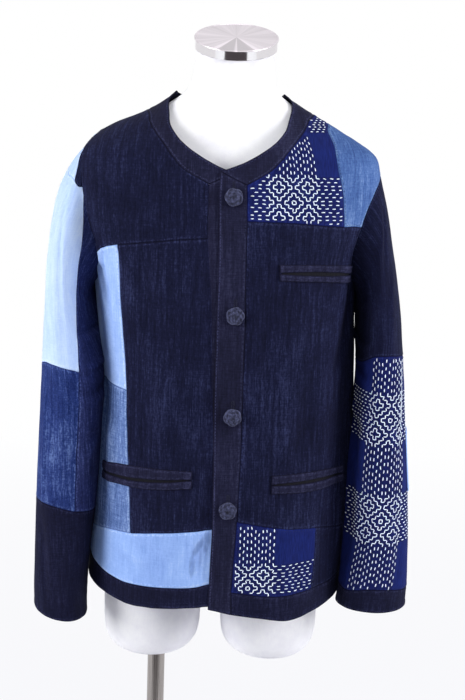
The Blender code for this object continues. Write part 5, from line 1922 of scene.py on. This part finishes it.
def round_marks(n, parts, rim):
    """Marks that run round a centre, and where they are, which is all but a polished rim. Inside a rim they
    also carry a painted reflection fan.
    """
    angle = n.math("ARCTAN2", parts[1], parts[0])
    line = n.node("CombineXYZ", X=n.math("MULTIPLY", angle, 26.0), Y=n.math("MULTIPLY", parts[2], 40.0))
    brushing_and_painted_fan = n.noise(line.outputs[0], detail=3.0, rough=0.7)
    brushing_and_painted_fan = n.added(brushing_and_painted_fan, n.noise(n.scaled(line.outputs[0], (0.11, 0.2, 1)), detail=1.0), 1.2)
    if not rim:
        return brushing_and_painted_fan, None
    radius = n.math("SQRT", n.math("ADD", *(n.math("MULTIPLY", part, part) for part in parts[:2])))
    brushed = n.math("MAXIMUM", n.spread(radius, rim, rim - 0.0008), n.spread(parts[2], 0.0126, 0.013))
    # painted reflection: a dark wedge towards the front, with a painted highlight line on either side and at
    # its middle
    off = n.math("ABSOLUTE", n.math("ADD", angle, math.pi / 2))
    painted_dark_wedge = n.math("MULTIPLY", n.spread(off, 0.5, 0.2), -0.42)
    painted_gleam = n.spread(n.math("ABSOLUTE", n.math("SUBTRACT", off, 0.53)), 0.09, 0.0, 0.0, 0.6)
    painted_reflection_fan = n.math("ADD", n.math("ADD", painted_dark_wedge, painted_gleam), n.spread(off, 0.1, 0.0, 0.0, 0.6))
    brushing_and_painted_fan = n.math("ADD", n.math("MULTIPLY_ADD", brushing_and_painted_fan, 0.4, 0.3), painted_reflection_fan)
    return n.math("MULTIPLY_ADD", n.math("SUBTRACT", brushing_and_painted_fan, 0.95), brushed, 0.95), brushed


def steel_material(name, tone, centre=(0, 0, 0), turn=0.0, around=True, contrast=0.3, rough=0.22, rim=None):
    """Brushed steel, with marks round a centre or along an upright. Outside the rim's radius it shines.
    Inside it, the marks carry a painted reflection.
    """
    n = Nodes(name)
    mapping = n.node("Mapping", Vector=n.place())
    mapping.vector_type = "TEXTURE"
    mapping.inputs["Location"].default_value = centre
    mapping.inputs["Rotation"].default_value = (turn, 0, 0)
    local = mapping.outputs[0]
    if around:
        brushing_and_painted_fan, brushed = round_marks(n, n.parts(local), rim)
    else:
        brushing_and_painted_fan = n.noise(n.scaled(local, (2600, 2600, 14)), detail=2.0, rough=0.6)
    dark, bright = (tuple(c * (1 + way * contrast) for c in tone) + (1,) for way in (-1, 1))
    metal = n.mix(n.spread(brushing_and_painted_fan, 0.3, 0.7), dark, bright)
    roughness = n.spread(brushing_and_painted_fan, 0.2, 0.8, rough, rough + 0.16)
    if rim:
        metal = n.mix(brushed, (0.96, 0.955, 0.965, 1), metal)
        roughness = n.math("MULTIPLY_ADD", brushed, n.math("SUBTRACT", roughness, 0.1), 0.1)
    n.put(n.shader.inputs["Base Color"], metal)
    n.put(n.shader.inputs["Roughness"], roughness)
    n.shader.inputs["Metallic"].default_value = 1.0
    n.bump(brushing_and_painted_fan, 0.15, 0.0001)
    return n.material


def jersey_material():
    """White knitted cotton, a little yellowed with age."""
    n = Nodes("white_jersey")
    place = n.place()
    knit = n.wave(n.scaled(place, (1000, 1000, 1000)), 0.24, "Z", 1.5)
    ribs = n.noise(n.scaled(place, (900, 900, 90)), detail=2.0)
    smudge = n.noise(place, scale=38, detail=4.0, rough=0.7)
    aged = n.added(n.noise(place, scale=9, detail=4.0, rough=0.65), smudge, 0.8)
    base = n.mix(n.spread(aged, 0.3, 0.75), colour(252, 252, 254), colour(238, 237, 244))
    base = n.mix(n.spread(ribs, 0.35, 0.75, 0.0, 0.2), base, colour(226, 225, 236))
    n.put(n.shader.inputs["Base Color"], base)
    n.put(n.shader.inputs["Roughness"], n.spread(smudge, 0.0, 1.0, 0.95, 0.85))
    n.shader.inputs["Specular IOR Level"].default_value = 0.2
    n.shader.inputs["Sheen Weight"].default_value = 0.1
    n.bump(n.math("MULTIPLY_ADD", ribs, 1.2, knit), 0.35, 0.0003)
    return n.material


CAP_STEEL_PAINTED_FAN = steel_material(
    "cap_steel_painted_fan", (0.68, 0.635, 0.675), neck_top * MM, math.atan(RAKE), contrast=0.2, rough=0.34, rim=0.0552,
)
POLE_STEEL = steel_material("pole_steel", (0.36, 0.335, 0.32), (-0.082, 0, 0), around=False)
BASE_STEEL = steel_material("base_steel", (0.48, 0.47, 0.46))


def dress(obj, material):
    """Gives an object this material only."""
    obj.data.materials.clear()
    obj.data.materials.append(material)


for name, (piece, slot) in PIECES.items():
    dress(piece, OWN_CLOTH.get(name, COTTONS[slot]))
for objects, material in (
    (SASHIKO.values(), thread_material("white_thread", (218, 230, 254), (246, 251, 255), sheen=0.2)),
    ([THREADS["edge_thread"]], thread_material("slate_thread", (38, 40, 72), (70, 74, 118))),
    ([THREADS["patch_thread"]], thread_material("navy_thread", (16, 18, 44), (38, 44, 84))),
    ([THREADS["buttonhole_stitches"]], thread_material("dark_thread", (16, 17, 34), (34, 35, 60))),
    # the button cord's darkest tone is painted shade low in the knot
    (KNOTS, thread_material("button_cord_cloth", (30, 32, 54), (78, 82, 116), 420, 0.05, painted_knot_shade=(6, 7, 16))),
    # near-black pocketing: painted shade inside each slit
    (MOUTHS.values(), thread_material("pocketing_in_painted_shade", (4, 5, 14), (10, 11, 24), 500)),
    ([torso], jersey_material()),
    ([cap], CAP_STEEL_PAINTED_FAN),
):
    for obj in objects:
        dress(obj, material)
for node, material in (("stand_pole", POLE_STEEL), ("pole_socket", BASE_STEEL), ("base_plate", BASE_STEEL)):
    for slot in bpy.data.objects[node].material_slots:
        slot.material = material
print("materials:", len(bpy.data.materials))

# %% [markdown]
# ## What each cloth was cut to
#
# A drape keeps its size: cloth bends, but barely stretches. So the width and length that each piece's cut
# measures flat are worked out here and held to a least size, and the area that shows is summed.

# %% Sheets
# a cut is at least so wide and long, in metres, and fills at least this share of its rectangle
LEAST_SIDE, LEAST_SHARE = 0.0102, 0.31
SLIVER = 0.35  # below this share it is a slanting sliver, whose cut is narrower than its longest row
for name, (piece, slot) in PIECES.items():
    width, length, area = CUTS[name]
    if area < SLIVER * width * length:
        width = area / (0.5 * length)
    width, length = max(width, LEAST_SIDE), max(length, LEAST_SIDE)
    area = min(max(area, LEAST_SHARE * width * length), width * length)
shown = sum(area for _, _, area in CUTS.values())
print("cloth that shows:", round(shown, 3), "square metres in", len(PIECES), "pieces")

# %% [markdown]
# ## Floor and light
#
# The stage is a pale floor in an even, white room. The room itself lights from all sides. One broad lamp
# hangs over the front and a stronger one stands at each side, so that folds have a soft dark side. The
# camera and the steel see a white background, which adds no light to the cloth. A black card lies on the
# floor in front and two grey ones stand far out, all of them out of view. Only the polished rim of the
# neck cap mirrors them, as a dark band between white flanks.

# %% Stage and light
def plane(name, size, at, scale=(1, 1, 1), tilt=0.0):
    """A plane of the stage, and the nodes of its paint."""
    bpy.ops.mesh.primitive_plane_add(size=size, location=at, rotation=(0, math.radians(tilt), 0))
    made = bpy.context.active_object
    made.name, made.scale = name, scale
    n = Nodes(name + "_paint")
    dress(made, n.material)
    return made, n


def looked_at(tree):
    """1 where the camera or a mirror looks, 0 for light that falls on things."""
    path = tree.nodes.new("ShaderNodeLightPath")
    most = path.outputs["Is Camera Ray"]
    for ray in ("Is Glossy Ray", "Is Transmission Ray"):
        node = tree.nodes.new("ShaderNodeMath")
        node.operation = "MAXIMUM"
        tree.links.new(most, node.inputs[0])
        tree.links.new(path.outputs[ray], node.inputs[1])
        most = node.outputs[0]
    return most


def chosen(tree, share, low, high, end):
    """Joins two shaders by a share and leads them to the end."""
    blend = tree.nodes.new("ShaderNodeMixShader")
    for source, socket in zip((share, low, high), blend.inputs):
        tree.links.new(source, socket)
    tree.links.new(blend.outputs[0], end)


picked(None)
floor, n = plane("floor", 9, (0, 1.6, -0.0008))
n.shader.inputs["Base Color"].default_value = colour(243, 243, 250)
n.shader.inputs["Roughness"].default_value = 0.95
n.shader.inputs["Specular IOR Level"].default_value = 0.1
depth = n.parts(n.place())[1]
glow = n.node("Emission", Strength=1.0)
n.put(glow.inputs["Color"], n.mix(n.spread(depth, -1.0, 1.6), (0.97, 0.972, 1.0, 1), (1, 1, 1, 1)))
share = n.math("MULTIPLY", looked_at(n.tree), n.spread(depth, -1.6, 1.2, 0.86, 1.0))
end = n.tree.nodes["Material Output"].inputs["Surface"]
chosen(n.tree, share, n.shader.outputs[0], glow.outputs[0], end)

card, n = plane("black_card", 1, (0, -1.75, 0.002), (2.15, 2.2, 1))
card.visible_camera = card.visible_diffuse = False
n.shader.inputs["Base Color"].default_value = colour(58, 50, 54)
n.shader.inputs["Roughness"].default_value = 1.0
for number, x in enumerate((-2.2, 2.2), 1):
    card, n = plane(f"grey_card_{number}", 1, (x, 1.23, 0.9), (1.9, 5.14, 1), tilt=90)
    card.visible_camera = card.visible_diffuse = card.visible_shadow = False
    n.shader.inputs["Base Color"].default_value = (0, 0, 0, 1)
    n.shader.inputs["Emission Color"].default_value = (0.73, 0.71, 0.73, 1)
    n.shader.inputs["Emission Strength"].default_value = 1.0

world = bpy.data.worlds.new("studio")
bpy.context.scene.world = world
world.use_nodes = True
tree = world.node_tree
room = tree.nodes["Background"]
room.inputs["Color"].default_value = (0.94, 0.96, 1.0, 1)
room.inputs["Strength"].default_value = 0.31
seen = tree.nodes.new("ShaderNodeBackground")
seen.inputs["Color"].default_value = (1, 1, 1, 1)
seen.inputs["Strength"].default_value = 1.0
end = tree.nodes["World Output"].inputs["Surface"]
chosen(tree, looked_at(tree), room.outputs[0], seen.outputs[0], end)


def lamp(name, at, size, watts):
    """A square lamp that points at the chest."""
    data = bpy.data.lights.new(name, "AREA")
    data.shape = "SQUARE"
    data.size = size
    data.energy = watts
    obj = linked(name, data)
    obj.location = at
    obj.rotation_euler = (Vector((0, 0, 1.0)) - Vector(at)).to_track_quat("-Z", "Y").to_euler()


lamp("left_softbox", (-1.85, -1.0, 1.35), 0.9, 38)
lamp("right_softbox", (1.95, -0.9, 1.4), 0.9, 38)
lamp("top_softbox", (0.3, -1.0, 2.7), 1.3, 12)
bpy.context.scene.view_settings.view_transform = "Standard"
